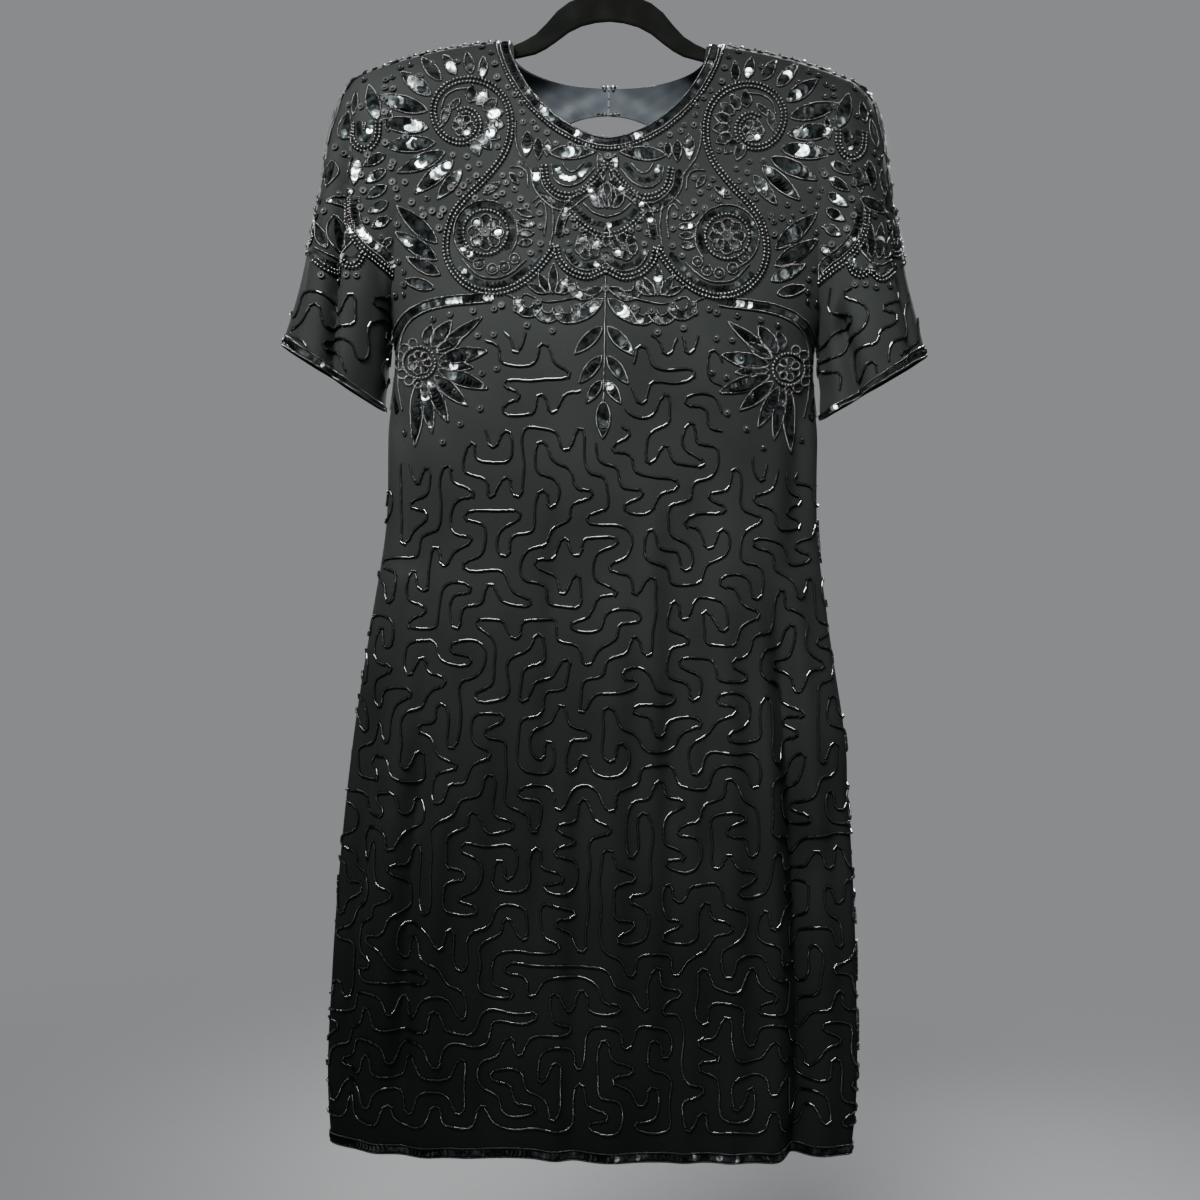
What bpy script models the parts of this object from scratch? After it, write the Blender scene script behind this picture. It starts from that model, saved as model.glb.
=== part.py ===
"""Short cocktail dress in beaded silk crepe, hanging on a thin flocked hanger.

Metres, +Z up, the front faces -Y and the wearer's left is +X. The origin is the inside of the
hanger's hook, where a rail touches it. Every cloth piece is a wall: an outer grid of points worked
out from the tables below, and an inner grid one cloth thickness behind it.
"""

import bmesh
import bpy
import numpy as np
from math import pi

# ---------------------------------------------------------------- driving sizes

CLOTH = 0.0018            # crepe, its lining and the beadwork's backing, sewn as one wall
SEAM_GAP = 0.0003         # left between pieces that are sewn to each other
FACING = 0.0010           # satin facing inside the back neck

HEM = -1.053              # height of the hem
UNDERARM = -0.361         # height where side seam, armhole and sleeve seam meet
NECK_X = 0.084            # half the neck's width, on the shoulder seam
SHOULDER_X = 0.1965       # where the shoulder seam ends at the sleeve
SHOULDER_Z = -0.1190      # height of the shoulder seam at the neck
SHOULDER_FALL = 0.060     # slope of the shoulder seam at the neck
SHOULDER_BOW = 1.33       # how much faster it falls towards the sleeve, per metre
ROLL_NECK = 0.045         # height of the round over the shoulder, at the neck and at the sleeve
ROLL_SLEEVE = 0.058
OVAL = 2.2                # exponent of the body's flat oval: 2 is an ellipse

NECK_DROP_FRONT = 0.091   # how far the neckline's lowest point is below the shoulder seam
NECK_DROP_BACK = 0.023
NECK_CURVE_FRONT = 1.72   # exponent of the neckline's curve
NECK_CURVE_BACK = 2.0
BAND = 0.023              # height of the back neck band, above the keyhole
SLIT = 0.0015             # gap between the two ends of that band
KEYHOLE_X = 0.065         # half the keyhole's width
KEYHOLE_WIDEST = -0.215   # height where it is widest
KEYHOLE_FOOT = -0.355     # height where the centre-back seam starts below it

BUTTON_R = 0.0032
LOOP_WIRE = 0.0006

HANGER_T = 0.0055         # thickness of the hanger
HANGER_H = 0.0110         # height of its arms
HANGER_TIP_X = 0.207
WIRE_R = 0.0019           # hook wire
HOOK_R = 0.0200           # inner radius of the hook

# Grid sizes: columns from the centre to a side seam, rows below and above the underarm
COLUMNS = 20
ROWS_SKIRT = 11
ROWS_YOKE = 16
FRONT_NECK_COLUMNS = 11
BACK_NECK_COLUMNS = 9
BAND_ROWS = 2
FACING_ROWS = 6           # of the back's grid that the neck facing covers, down from the neckline
SLEEVE_ROWS = (0.0, 0.04, 0.09, 0.17, 0.28, 0.42, 0.58, 0.74, 0.88, 1.0)


def table(names, rows):
    """A table with named columns, kept as one array for each name."""
    return dict(zip(names.split(), np.array(rows, dtype=float).T))


# The dress as a flat oval at each height. Above the underarm the half width is that of the oval
# that the armholes cut through, so that the yoke stays wide and the armhole stands open.
SECTIONS = table("z half_width front_depth back_depth", [
    (HEM,      0.2203, 0.0400, 0.0380),
    (-1.0150,  0.2236, 0.0410, 0.0385),
    (-0.9130,  0.2223, 0.0430, 0.0395),
    (-0.8110,  0.2168, 0.0440, 0.0405),
    (-0.7090,  0.2074, 0.0450, 0.0420),
    (-0.6070,  0.1934, 0.0450, 0.0410),
    (-0.5300,  0.1828, 0.0460, 0.0400),
    (-0.4540,  0.1823, 0.0510, 0.0420),
    (UNDERARM, 0.1812, 0.0560, 0.0460),
    (-0.3400,  0.1905, 0.0560, 0.0475),
    (-0.3100,  0.2080, 0.0550, 0.0485),
    (-0.2500,  0.2500, 0.0510, 0.0490),
    (-0.2000,  0.2800, 0.0450, 0.0460),
    (-0.1460,  0.3000, 0.0390, 0.0400),
    (-0.1000,  0.3000, 0.0370, 0.0370),
])

# The armhole, from the underarm (0) to the shoulder seam (1)
ARMHOLE = table("share x", [
    (0.0, 0.1812), (0.2, 0.1765), (0.45, 0.1730), (0.7, 0.1790), (1.0, SHOULDER_X),
])

# The sleeve, from the armhole (0) to its hem (1): its upper and lower lines, seen from the front,
# and half its depth
SLEEVE = table("share top_x top_z under_x under_z depth", [
    (0.00, SHOULDER_X, -0.1428, 0.1815, -0.3612, 0.047),
    (0.04, 0.2060, -0.1462, 0.1817, -0.3640, 0.047),
    (0.09, 0.2170, -0.1530, 0.1819, -0.3680, 0.047),
    (0.17, 0.2275, -0.1700, 0.1822, -0.3730, 0.046),
    (0.30, 0.2355, -0.2030, 0.1828, -0.3830, 0.046),
    (0.45, 0.2415, -0.2420, 0.1834, -0.3930, 0.045),
    (0.65, 0.2512, -0.2930, 0.1842, -0.4060, 0.044),
    (0.85, 0.2625, -0.3420, 0.1850, -0.4210, 0.043),
    (1.00, 0.2730, -0.3800, 0.1858, -0.4330, 0.042),
])

# The hanger's raised neck, from its middle to where it goes under the shoulder seam
HANGER_NECK = table("x top bottom", [
    (0.0000, -0.0750, -0.0975),
    (0.0160, -0.0762, -0.0995),
    (0.0320, -0.0805, -0.1055),
    (0.0460, -0.0910, -0.1160),
    (0.0595, -0.1072, -0.1250),
    (0.0750, -0.1175, -0.1295),
])

# Folds of the body: place is the share of the way from the centre to the side seam, minus on the
# wearer's right; depth is inwards, minus for a ridge
BODY_FOLDS = table("is_front place_top place_foot width depth top foot", [
    (1,  0.70,  0.715, 0.011,  0.0150, -0.560, -1.053),
    (1,  0.90,  0.900, 0.016, -0.0060, -0.600, -1.053),
    (1,  0.50,  0.560, 0.030, -0.0040, -0.520, -1.053),
    (1, -0.84, -0.860, 0.012,  0.0100, -0.640, -1.000),
    (1, -0.62, -0.640, 0.010,  0.0080, -0.690, -0.980),
    (1, -0.71, -0.735, 0.014, -0.0050, -0.600, -1.053),
    (1, -0.53, -0.550, 0.016, -0.0045, -0.680, -1.053),
    (1,  0.30,  0.270, 0.016,  0.0035, -0.500, -0.760),
    (1, -0.20, -0.240, 0.030,  0.0035, -0.620, -1.053),
    (1,  0.06,  0.020, 0.028, -0.0030, -0.560, -1.053),
    (1,  0.86,  0.780, 0.014,  0.0050, -0.400, -0.560),
    (1, -0.88, -0.800, 0.014,  0.0050, -0.410, -0.560),
    (0,  0.66,  0.700, 0.013,  0.0100, -0.540, -1.053),
    (0,  0.84,  0.860, 0.016, -0.0050, -0.640, -1.053),
    (0,  0.36,  0.420, 0.022,  0.0060, -0.600, -1.000),
    (0, -0.56, -0.620, 0.014,  0.0090, -0.600, -1.053),
    (0, -0.78, -0.820, 0.014,  0.0060, -0.680, -1.053),
    (0, -0.30, -0.330, 0.024,  0.0050, -0.500, -0.940),
])

# Folds of the sleeves: side is 1 for the wearer's left; the angles go from the overarm line
# forwards, in degrees; top and foot are shares of the sleeve's length
SLEEVE_FOLDS = table("side angle_top angle_foot width depth top foot", [
    (-1,   42.0,   96.0, 0.0075,  0.0140, 0.10, 1.00),
    (-1,   25.0,   62.0, 0.0140, -0.0040, 0.20, 1.00),
    (-1, -100.0,  -80.0, 0.0160,  0.0070, 0.25, 1.00),
    (1,   128.0,  118.0, 0.0100,  0.0120, 0.30, 1.00),
    (1,    30.0,   48.0, 0.0090,  0.0050, 0.35, 1.00),
    (1,  -112.0,  -96.0, 0.0150,  0.0080, 0.25, 1.00),
])


# ---------------------------------------------------------------- curves and the body's surface

def along(rows, name, at):
    """A smooth curve through one column of a table.

    Cubic pieces run between the rows, each with the slopes that its neighbours' chords give.
    """
    key = next(iter(rows))
    x, y = rows[key], rows[name]
    slope = np.gradient(y, x)
    at = np.asarray(at, dtype=float)
    i = np.clip(np.searchsorted(x, at) - 1, 0, len(x) - 2)
    step = x[i + 1] - x[i]
    t = np.clip((at - x[i]) / step, 0.0, 1.0)
    from_start = (1 + 2 * t) * (1 - t) ** 2 * y[i] + t * (1 - t) ** 2 * step * slope[i]
    to_end = t ** 2 * (3 - 2 * t) * y[i + 1] + t ** 2 * (t - 1) * step * slope[i + 1]
    return from_start + to_end


def ease(t):
    """0 to 1 with soft ends."""
    t = np.clip(t, 0.0, 1.0)
    return t * t * (3 - 2 * t)


def shoulder_height(x):
    out = np.abs(x) - NECK_X
    return SHOULDER_Z - SHOULDER_FALL * out - SHOULDER_BOW * out * np.abs(out)


def roll_height(x):
    """Height over which the cloth rounds over the shoulder, taller towards the sleeve."""
    share = ease((np.abs(x) - NECK_X) / (SHOULDER_X - NECK_X))
    return ROLL_NECK + (ROLL_SLEEVE - ROLL_NECK) * share


def climb_at(x, z):
    """Height measured along the cloth: z itself up to the shoulder's roll, then along its arc."""
    roll = roll_height(x)
    start = shoulder_height(x) - roll
    sine = np.clip((z - start) / roll, 0.0, 1.0)
    return np.where(z > start, start + roll * np.arcsin(sine), z)


def turn_at(x, z):
    """Angle round the flat oval whose place is x: 0 at the centre, a quarter turn at the side."""
    share = np.clip(np.abs(x) / along(SECTIONS, "half_width", z), 0.0, 1.0)
    return np.arcsin(share ** (OVAL / 2))


def body_points(is_front, turn, climb):
    """Points of the body on the wearer's left.

    x is the half width times sin(turn) and y the depth times cos(turn), both to the power of the
    oval. Over the shoulder's roll z follows the sine of a quarter circle and y its cosine.
    """
    reach = np.sin(turn) ** (2 / OVAL)
    x = along(SECTIONS, "half_width", np.minimum(climb, SHOULDER_Z)) * reach
    for _ in range(6):
        roll = roll_height(x)
        start = shoulder_height(x) - roll
        angle = np.clip((climb - start) / roll, 0.0, pi / 2)
        z = np.where(climb > start, start + roll * np.sin(angle), climb)
        x = along(SECTIONS, "half_width", z) * reach
    depth = along(SECTIONS, "front_depth" if is_front else "back_depth", z)
    side = -1.0 if is_front else 1.0
    y = side * depth * np.abs(np.cos(turn)) ** (2 / OVAL) * np.cos(angle)
    return np.stack([x, y, z], axis=-1)


def even_turns(count):
    """Turns that part the oval at the underarm into equal lengths."""
    turn = np.linspace(0.0, pi / 2, 400)
    points = body_points(True, turn, np.full_like(turn, UNDERARM))
    length = np.concatenate([[0.0], np.cumsum(np.linalg.norm(np.diff(points, axis=0), axis=1))])
    return np.interp(np.linspace(0.0, length[-1], count + 1), length, turn)


def seam_top(x):
    """Turn and climb of the shoulder seam at x."""
    climb = shoulder_height(x) - roll_height(x) + roll_height(x) * pi / 2
    return turn_at(x, shoulder_height(x)), climb


def neckline(is_front, count):
    """Turn and climb along the neckline, from the centre to the shoulder seam."""
    power = 2 / (NECK_CURVE_FRONT if is_front else NECK_CURVE_BACK)
    drop = NECK_DROP_FRONT if is_front else NECK_DROP_BACK
    angle = np.linspace(0.0, pi / 2, count + 1)
    x = NECK_X * np.sin(angle) ** power
    z = SHOULDER_Z - drop * np.abs(np.cos(angle)) ** power
    z[-1] = shoulder_height(NECK_X)
    return turn_at(x, z), climb_at(x, z)


def armhole():
    """Turn and climb up the armhole, with closer rows at the underarm and at the shoulder."""
    share = yoke_rows()
    x = along(ARMHOLE, "x", share)
    top = seam_top(SHOULDER_X)[1]
    climb = UNDERARM + (top - UNDERARM) * share
    roll = roll_height(x)
    start = shoulder_height(x) - roll
    z = np.where(climb > start, start + roll * np.sin(np.clip((climb - start) / roll, 0, pi / 2)), climb)
    turn = turn_at(x, z)
    turn[0] = pi / 2
    return turn, climb


def yoke_rows():
    return (1 - np.cos(pi * np.arange(ROWS_YOKE + 1) / ROWS_YOKE)) / 2


def patch(left, right, foot, top, across):
    """Points between four edges.

    Each row mixes the edges below and above it in the share that the right edge has reached, and
    is then moved to meet the left edge, by less and less towards the right. Edges are
    (turn, climb) pairs.
    """
    grids = []
    for a, b, c, d in zip(left, right, foot, top):
        share = (b - b[0]) / (b[-1] - b[0])
        mixed = np.outer(1 - share, c) + np.outer(share, d)
        grids.append(mixed + np.outer(a - mixed[:, 0], 1 - across))
    return grids


def keyhole_edge():
    """Turn and climb of a back's inner edge above the underarm: seam, keyhole, neck band."""
    apex = SHOULDER_Z - NECK_DROP_BACK - BAND
    count = ROWS_YOKE - BAND_ROWS - 1
    angle = np.linspace(0.0, pi, count + 1)
    x = KEYHOLE_X * np.sin(angle)
    foot, head = KEYHOLE_WIDEST - KEYHOLE_FOOT, apex - KEYHOLE_WIDEST
    z = KEYHOLE_WIDEST - np.cos(angle) * np.where(angle < pi / 2, foot, head)
    band = np.linspace(apex, apex + BAND, BAND_ROWS + 1)[1:]
    x = np.concatenate([[0.0], x, np.zeros(BAND_ROWS)])
    z = np.concatenate([[UNDERARM], z, band])
    x = np.abs(np.where(np.abs(x) < 1e-6, 0.0, x))
    return turn_at(x, z), climb_at(x, z)


def half_grid(is_front):
    """Turn and climb of every point of one half of the front, or of one back, from hem to top."""
    turns = even_turns(COLUMNS)
    across = np.arange(COLUMNS + 1) / COLUMNS
    neck_columns = FRONT_NECK_COLUMNS if is_front else BACK_NECK_COLUMNS
    neck_turn, neck_climb = neckline(is_front, neck_columns)
    seam_x = np.linspace(NECK_X, SHOULDER_X, COLUMNS - neck_columns + 1)[1:]
    seam_turn, seam_climb = seam_top(seam_x)
    top = (np.concatenate([neck_turn, seam_turn]), np.concatenate([neck_climb, seam_climb]))
    up = yoke_rows()
    if is_front:
        left = (np.zeros_like(up), UNDERARM + (neck_climb[0] - UNDERARM) * up)
    else:
        left = keyhole_edge()
    foot = (turns, np.full_like(turns, UNDERARM))
    yoke_turn, yoke_climb = patch(left, armhole(), foot, top, across)
    skirt_climb = np.linspace(HEM, UNDERARM, ROWS_SKIRT + 1)[:-1]
    turn = np.vstack([np.tile(turns, (ROWS_SKIRT, 1)), yoke_turn])
    climb = np.vstack([np.repeat(skirt_climb[:, None], COLUMNS + 1, axis=1), yoke_climb])
    return np.clip(turn, 0.0, pi / 2), climb


def unit(vectors):
    return vectors / np.linalg.norm(vectors, axis=-1, keepdims=True)


def normals(points, ring=False):
    """Unit normals of a grid: the cross product of its steps along the columns and the rows."""
    up = np.gradient(points, axis=0)
    if ring:
        across = np.roll(points, -1, axis=1) - np.roll(points, 1, axis=1)
    else:
        across = np.gradient(points, axis=1)
    return unit(np.cross(across, up))


def fold_depth(rows, chosen, place, length, height):
    """How far the folds push the cloth in: a bell across each fold, faded in and out along it."""
    depth = np.zeros_like(height)
    for k in np.flatnonzero(chosen):
        way = (rows["top"][k] - height) / (rows["top"][k] - rows["foot"][k])
        middle = rows["first"][k] + (rows["last"][k] - rows["first"][k]) * np.clip(way, 0, 1)
        bell = np.exp(-(((place - middle) * length) / rows["width"][k]) ** 2)
        fade = ease(way / 0.25) * (1 - ease((way - 1.0) / 0.12))
        depth += rows["depth"][k] * bell * fade
    return depth


def body_fold_depth(is_front, place, z):
    rows = dict(BODY_FOLDS, first=BODY_FOLDS["place_top"], last=BODY_FOLDS["place_foot"])
    length = 1.09 * along(SECTIONS, "half_width", z)
    near_seam = 1 - ease((np.abs(place) - 0.93) / 0.07)
    return fold_depth(rows, rows["is_front"] == is_front, place, length, z) * near_seam


# ---------------------------------------------------------------- meshes

def finish(mesh, material):
    mesh.materials.append(material)
    mesh.validate()
    mesh.shade_smooth()
    mesh.set_sharp_from_angle(angle=0.7)


def add_object(name, mesh, material):
    finish(mesh, material)
    made = bpy.data.objects.new(name, mesh)
    bpy.context.scene.collection.objects.link(made)
    return made


def wall(name, outer, inner, material, ring=False):
    """A closed solid between an outer and an inner grid, with a rim along every open edge."""
    rows, columns = outer.shape[:2]
    index = np.arange(rows * columns).reshape(rows, columns)
    if ring:
        index = np.hstack([index, index[:, :1]])
    behind = index + rows * columns

    def quads(a, b, c, d):
        return np.stack([a.ravel(), b.ravel(), c.ravel(), d.ravel()], axis=1)

    faces = [
        quads(index[:-1, :-1], index[:-1, 1:], index[1:, 1:], index[1:, :-1]),
        quads(behind[:-1, :-1], behind[1:, :-1], behind[1:, 1:], behind[:-1, 1:]),
        quads(index[0, 1:], index[0, :-1], behind[0, :-1], behind[0, 1:]),
        quads(index[-1, :-1], index[-1, 1:], behind[-1, 1:], behind[-1, :-1]),
    ]
    if not ring:
        faces.append(quads(index[:-1, 0], index[1:, 0], behind[1:, 0], behind[:-1, 0]))
        faces.append(quads(index[1:, -1], index[:-1, -1], behind[:-1, -1], behind[1:, -1]))
    faces = np.vstack(faces)
    points = np.vstack([outer.reshape(-1, 3), inner.reshape(-1, 3)])
    a, b, c, d = (points[faces[:, k]] for k in range(4))
    volume = np.einsum("ij,ij->i", a, np.cross(b, c)).sum() + np.einsum("ij,ij->i", a, np.cross(c, d)).sum()
    if volume < 0:
        faces = faces[:, ::-1]
    mesh = bpy.data.meshes.new(name)
    mesh.from_pydata(points.tolist(), [], faces.tolist())
    return add_object(name, mesh, material)


def cloth_material(name, colour, roughness, metallic=0.0):
    made = bpy.data.materials.new(name)
    made.use_nodes = True
    shader = made.node_tree.nodes["Principled BSDF"]
    shader.inputs["Base Color"].default_value = (*colour, 1.0)
    shader.inputs["Roughness"].default_value = roughness
    shader.inputs["Metallic"].default_value = metallic
    return made


# ---------------------------------------------------------------- the dress

def body_grid(is_front):
    """Outer points and outward normals of one half, before its folds, on the wearer's left."""
    turn, climb = half_grid(is_front)
    points = body_points(is_front, turn, climb)
    face = normals(points)
    if is_front:
        mirror = points[:, 1] * (-1, 1, 1)
        face[:, 0] = unit(np.cross(points[:, 1] - mirror, np.gradient(points[:, 0], axis=0)))
    else:
        face = -face
        face[:, 0, 0] = 0.0
    side_rows = slice(0, ROWS_SKIRT + 1)
    face[side_rows, -1, 1] = 0.0
    neck_columns = FRONT_NECK_COLUMNS if is_front else BACK_NECK_COLUMNS
    face[-1, neck_columns:, 1] = 0.0
    armhole_rows = slice(ROWS_SKIRT, None)
    face[armhole_rows, -1, 0] = np.maximum(face[armhole_rows, -1, 0], 0.0)
    return points, unit(face)


def trim_seams(points, is_front):
    """Draws the side and shoulder seams back from the middle plane by half a seam gap."""
    neck_columns = FRONT_NECK_COLUMNS if is_front else BACK_NECK_COLUMNS
    side = -1.0 if is_front else 1.0
    edge = side * SEAM_GAP / 2
    points[:ROWS_SKIRT + 1, -1, 1] = edge
    points[-1, neck_columns:, 1] = edge
    return points


def body_wall(is_front, mirrored, offsets):
    """Grids of one half at the given depths behind the outer surface, folds included."""
    points, face = body_grid(is_front)
    sign = -1.0 if mirrored else 1.0
    place = np.tile(np.arange(COLUMNS + 1) / COLUMNS, (len(points), 1))
    folds = body_fold_depth(is_front, sign * place, points[..., 2])
    grids = []
    for offset in offsets:
        grid = trim_seams(points - face * (folds + offset)[..., None], is_front)
        grids.append(grid * (sign, 1, 1))
    return grids


def make_front(material):
    left = body_wall(True, False, (0.0, CLOTH))
    right = body_wall(True, True, (0.0, CLOTH))
    outer, inner = (np.hstack([b[:, :0:-1], a]) for a, b in zip(left, right))
    wall("front", outer, inner, material)


def centre_back_gap(points, sign):
    """Moves the inner edge off the middle plane: half a seam gap, or half the slit in the band."""
    gap = np.full(len(points), SEAM_GAP / 2)
    gap[-(BAND_ROWS + 1):] = SLIT / 2
    x = points[:, 0, 0] * sign
    points[:, 0, 0] = sign * np.maximum(x, gap)
    return points


def make_backs(material):
    for name, mirrored in (("back_left", False), ("back_right", True)):
        sign = -1.0 if mirrored else 1.0
        outer, inner = (centre_back_gap(g, sign) for g in body_wall(False, mirrored, (0.0, CLOTH)))
        wall(name, outer, inner, material)


def make_facings(material):
    """The back neck facing: points of the back itself, moved in by the wall and a seam gap.

    It is as high as the neck band at the slit and follows the keyhole's edge down from there.
    """
    for name, mirrored in (("neck_facing_left", False), ("neck_facing_right", True)):
        sign = -1.0 if mirrored else 1.0
        near = CLOTH + SEAM_GAP
        grids = body_wall(False, mirrored, (near, near + FACING))
        grids = [centre_back_gap(g, sign)[-(FACING_ROWS + 1):, :BACK_NECK_COLUMNS] for g in grids]
        wall(name, grids[0], grids[1], material)


def sleeve_grid(sign):
    """Rings of a sleeve and their outward normals, on the wearer's left.

    Each ring is an oval between the sleeve's upper and lower lines. The first is the armhole
    itself, a seam gap further out, and its shape fades into the ovals down the sleeve.
    """
    turn, climb = armhole()
    front = body_points(True, turn, climb)
    back = body_points(False, turn, climb)
    front[[0, -1], 1] = 0.0
    loop = np.vstack([front, back[-2:0:-1]]) + (SEAM_GAP, 0, 0)
    count = ROWS_YOKE
    angle = pi * (1 - np.arange(2 * count) / count)
    share = np.array(SLEEVE_ROWS)
    top = np.stack([along(SLEEVE, "top_x", share), 0 * share, along(SLEEVE, "top_z", share)], -1)
    under = np.stack([along(SLEEVE, "under_x", share), 0 * share, along(SLEEVE, "under_z", share)], -1)
    middle, half = (top + under) / 2, (top - under) / 2
    depth = along(SLEEVE, "depth", share)
    rings = middle[:, None] + np.cos(angle)[None, :, None] * half[:, None]
    rings[..., 1] -= np.sin(angle)[None, :] * depth[:, None]
    rings += ((1 - share) ** 2)[:, None, None] * (loop - rings[0])
    face = -normals(rings, ring=True)
    rows = dict(SLEEVE_FOLDS, first=np.radians(SLEEVE_FOLDS["angle_top"]),
                last=np.radians(SLEEVE_FOLDS["angle_foot"]))
    rows["top"], rows["foot"] = -SLEEVE_FOLDS["top"], -SLEEVE_FOLDS["foot"]
    place = np.tile(angle, (len(share), 1))
    height = np.repeat(-share[:, None], len(angle), axis=1)
    girth = np.full_like(height, 0.055)
    folds = fold_depth(rows, rows["side"] == sign, place, girth, height)
    return rings, face, folds


def make_sleeves(material):
    for name, sign in (("sleeve_left", 1.0), ("sleeve_right", -1.0)):
        rings, face, folds = sleeve_grid(sign)
        outer = rings - face * folds[..., None]
        inward = -face * CLOTH
        inward[0, :, 0] = np.maximum(inward[0, :, 0], 0.0)
        inward[0] = unit(inward[0]) * CLOTH
        inner = outer + inward
        wall(name, outer * (sign, 1, 1), inner * (sign, 1, 1), material, ring=True)


def make_closures(button_material, loop_material):
    """Two small ball buttons on the left end of the neck band, in loops from the right end."""
    apex = SHOULDER_Z - NECK_DROP_BACK - BAND
    for name, height in (("upper", apex + BAND - 0.0045), ("lower", apex + 0.0045)):
        x = SLIT / 2 + BUTTON_R + 0.0012
        cloth_y = body_points(False, turn_at(x, height), climb_at(x, height))[1]
        centre = (x, float(cloth_y) + SEAM_GAP + 0.6 * BUTTON_R, height)
        ball = bmesh.new()
        bmesh.ops.create_uvsphere(ball, u_segments=12, v_segments=8, radius=BUTTON_R)
        for vertex in ball.verts:
            vertex.co = (vertex.co.x, -0.6 * vertex.co.z, vertex.co.y)
        bmesh.ops.recalc_face_normals(ball, faces=ball.faces)
        mesh = bpy.data.meshes.new("nape_button_" + name)
        ball.to_mesh(mesh)
        ball.free()
        add_object("nape_button_" + name, mesh, button_material).location = centre

        reach = BUTTON_R + LOOP_WIRE + 0.0004
        turn = np.linspace(pi / 2, -pi / 2, 9)
        arc = np.stack([x + reach * np.cos(turn), 0 * turn, height + reach * np.sin(turn)], -1)
        start, end = arc[0] - (0.0095, 0, 0.0012), arc[-1] - (0.0095, 0, -0.0012)
        route = np.vstack([start, arc, end])
        route[:, 1] = float(cloth_y) + SEAM_GAP + LOOP_WIRE + 0.0002
        tube("nape_loop_" + name, route, LOOP_WIRE, loop_material, 2)


def tube(name, route, radius, material, resolution):
    curve = bpy.data.curves.new(name, "CURVE")
    curve.dimensions = "3D"
    curve.bevel_depth = radius
    curve.bevel_resolution = resolution
    curve.use_fill_caps = True
    spline = curve.splines.new("POLY")
    spline.points.add(len(route) - 1)
    spline.points.foreach_set("co", np.hstack([route, np.ones((len(route), 1))]).ravel())
    curve.materials.append(material)
    bpy.context.scene.collection.objects.link(bpy.data.objects.new(name, curve))


# ---------------------------------------------------------------- the hanger

def hanger_lines(x):
    """Heights of the hanger's upper and lower edges at x.

    The raised neck follows its table. From there the arms run a seam gap under the shoulder seam
    and drop away from it before their tips.
    """
    under_seam = shoulder_height(x) - CLOTH - SEAM_GAP
    droop = 0.012 * np.clip((np.abs(x) - 0.165) / (HANGER_TIP_X - 0.165), 0, 1) ** 2
    arm_top = under_seam - droop
    join = ease((np.abs(x) - 0.075) / 0.012)
    top = along(HANGER_NECK, "top", np.abs(x)) * (1 - join) + arm_top * join
    bottom = along(HANGER_NECK, "bottom", np.abs(x)) * (1 - join) + (arm_top - HANGER_H) * join
    return np.minimum(top, np.where(np.abs(x) > 0.080, arm_top, top)), bottom


def make_hanger(material):
    """The hanger's cross sections, rounded oblongs, from tip to tip."""
    half = np.array([0.0, 0.012, 0.024, 0.035, 0.045, 0.054, 0.063, 0.073, 0.084, 0.100, 0.125,
                     0.150, 0.170, 0.186, 0.197, 0.2045, HANGER_TIP_X])
    x = np.concatenate([-half[:0:-1], half])
    top, bottom = hanger_lines(x)
    middle, tall = (top + bottom) / 2, (top - bottom) / 2
    shrink = np.ones_like(x)
    shrink[[0, -1]] = 0.45
    angle = 2 * pi * (np.arange(12) + 0.5) / 12
    corner = 0.5
    across = np.sign(np.cos(angle)) * np.abs(np.cos(angle)) ** corner * HANGER_T / 2
    upward = np.sign(np.sin(angle)) * np.abs(np.sin(angle)) ** corner
    across, upward = across / np.abs(across).max() * HANGER_T / 2, upward / np.abs(upward).max()
    made = bmesh.new()
    rings = []
    for k in range(len(x)):
        ring = [made.verts.new((x[k], across[i] * shrink[k], middle[k] + upward[i] * tall[k] * shrink[k]))
                for i in range(len(angle))]
        rings.append(ring)
    for a, b in zip(rings, rings[1:]):
        for i in range(len(a)):
            j = (i + 1) % len(a)
            made.faces.new((a[i], a[j], b[j], b[i]))
    made.faces.new(rings[0])
    made.faces.new(rings[-1][::-1])
    bmesh.ops.recalc_face_normals(made, faces=made.faces)
    mesh = bpy.data.meshes.new("hanger")
    made.to_mesh(mesh)
    made.free()
    add_object("hanger", mesh, material)


def make_hook(material):
    """The wire: a straight shank, a bend to the side, and three quarters of a round hook."""
    foot = float(hanger_lines(np.array([0.0]))[0][0]) + SEAM_GAP
    radius = HOOK_R + WIRE_R
    turn = np.radians(np.linspace(-38, 205, 28))
    ring = np.stack([radius * np.cos(turn), 0 * turn, radius * np.sin(turn) - HOOK_R], -1)
    shank = np.array([[0, 0, foot], [0, 0, foot + 0.012], [0, 0, foot + 0.022]])
    start, end = shank[-1], ring[0]
    lean = np.array([-np.sin(turn[0]), 0, np.cos(turn[0])])
    t = np.linspace(0, 1, 9)[1:-1, None]
    length = np.linalg.norm(end - start)
    bend = ((1 + 2 * t) * (1 - t) ** 2 * start + t * (1 - t) ** 2 * length * np.array([0, 0, 1])
            + t ** 2 * (3 - 2 * t) * end + t ** 2 * (t - 1) * length * lean)
    tube("hanger_hook", np.vstack([shank, bend, ring]), WIRE_R, material, 3)


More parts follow.
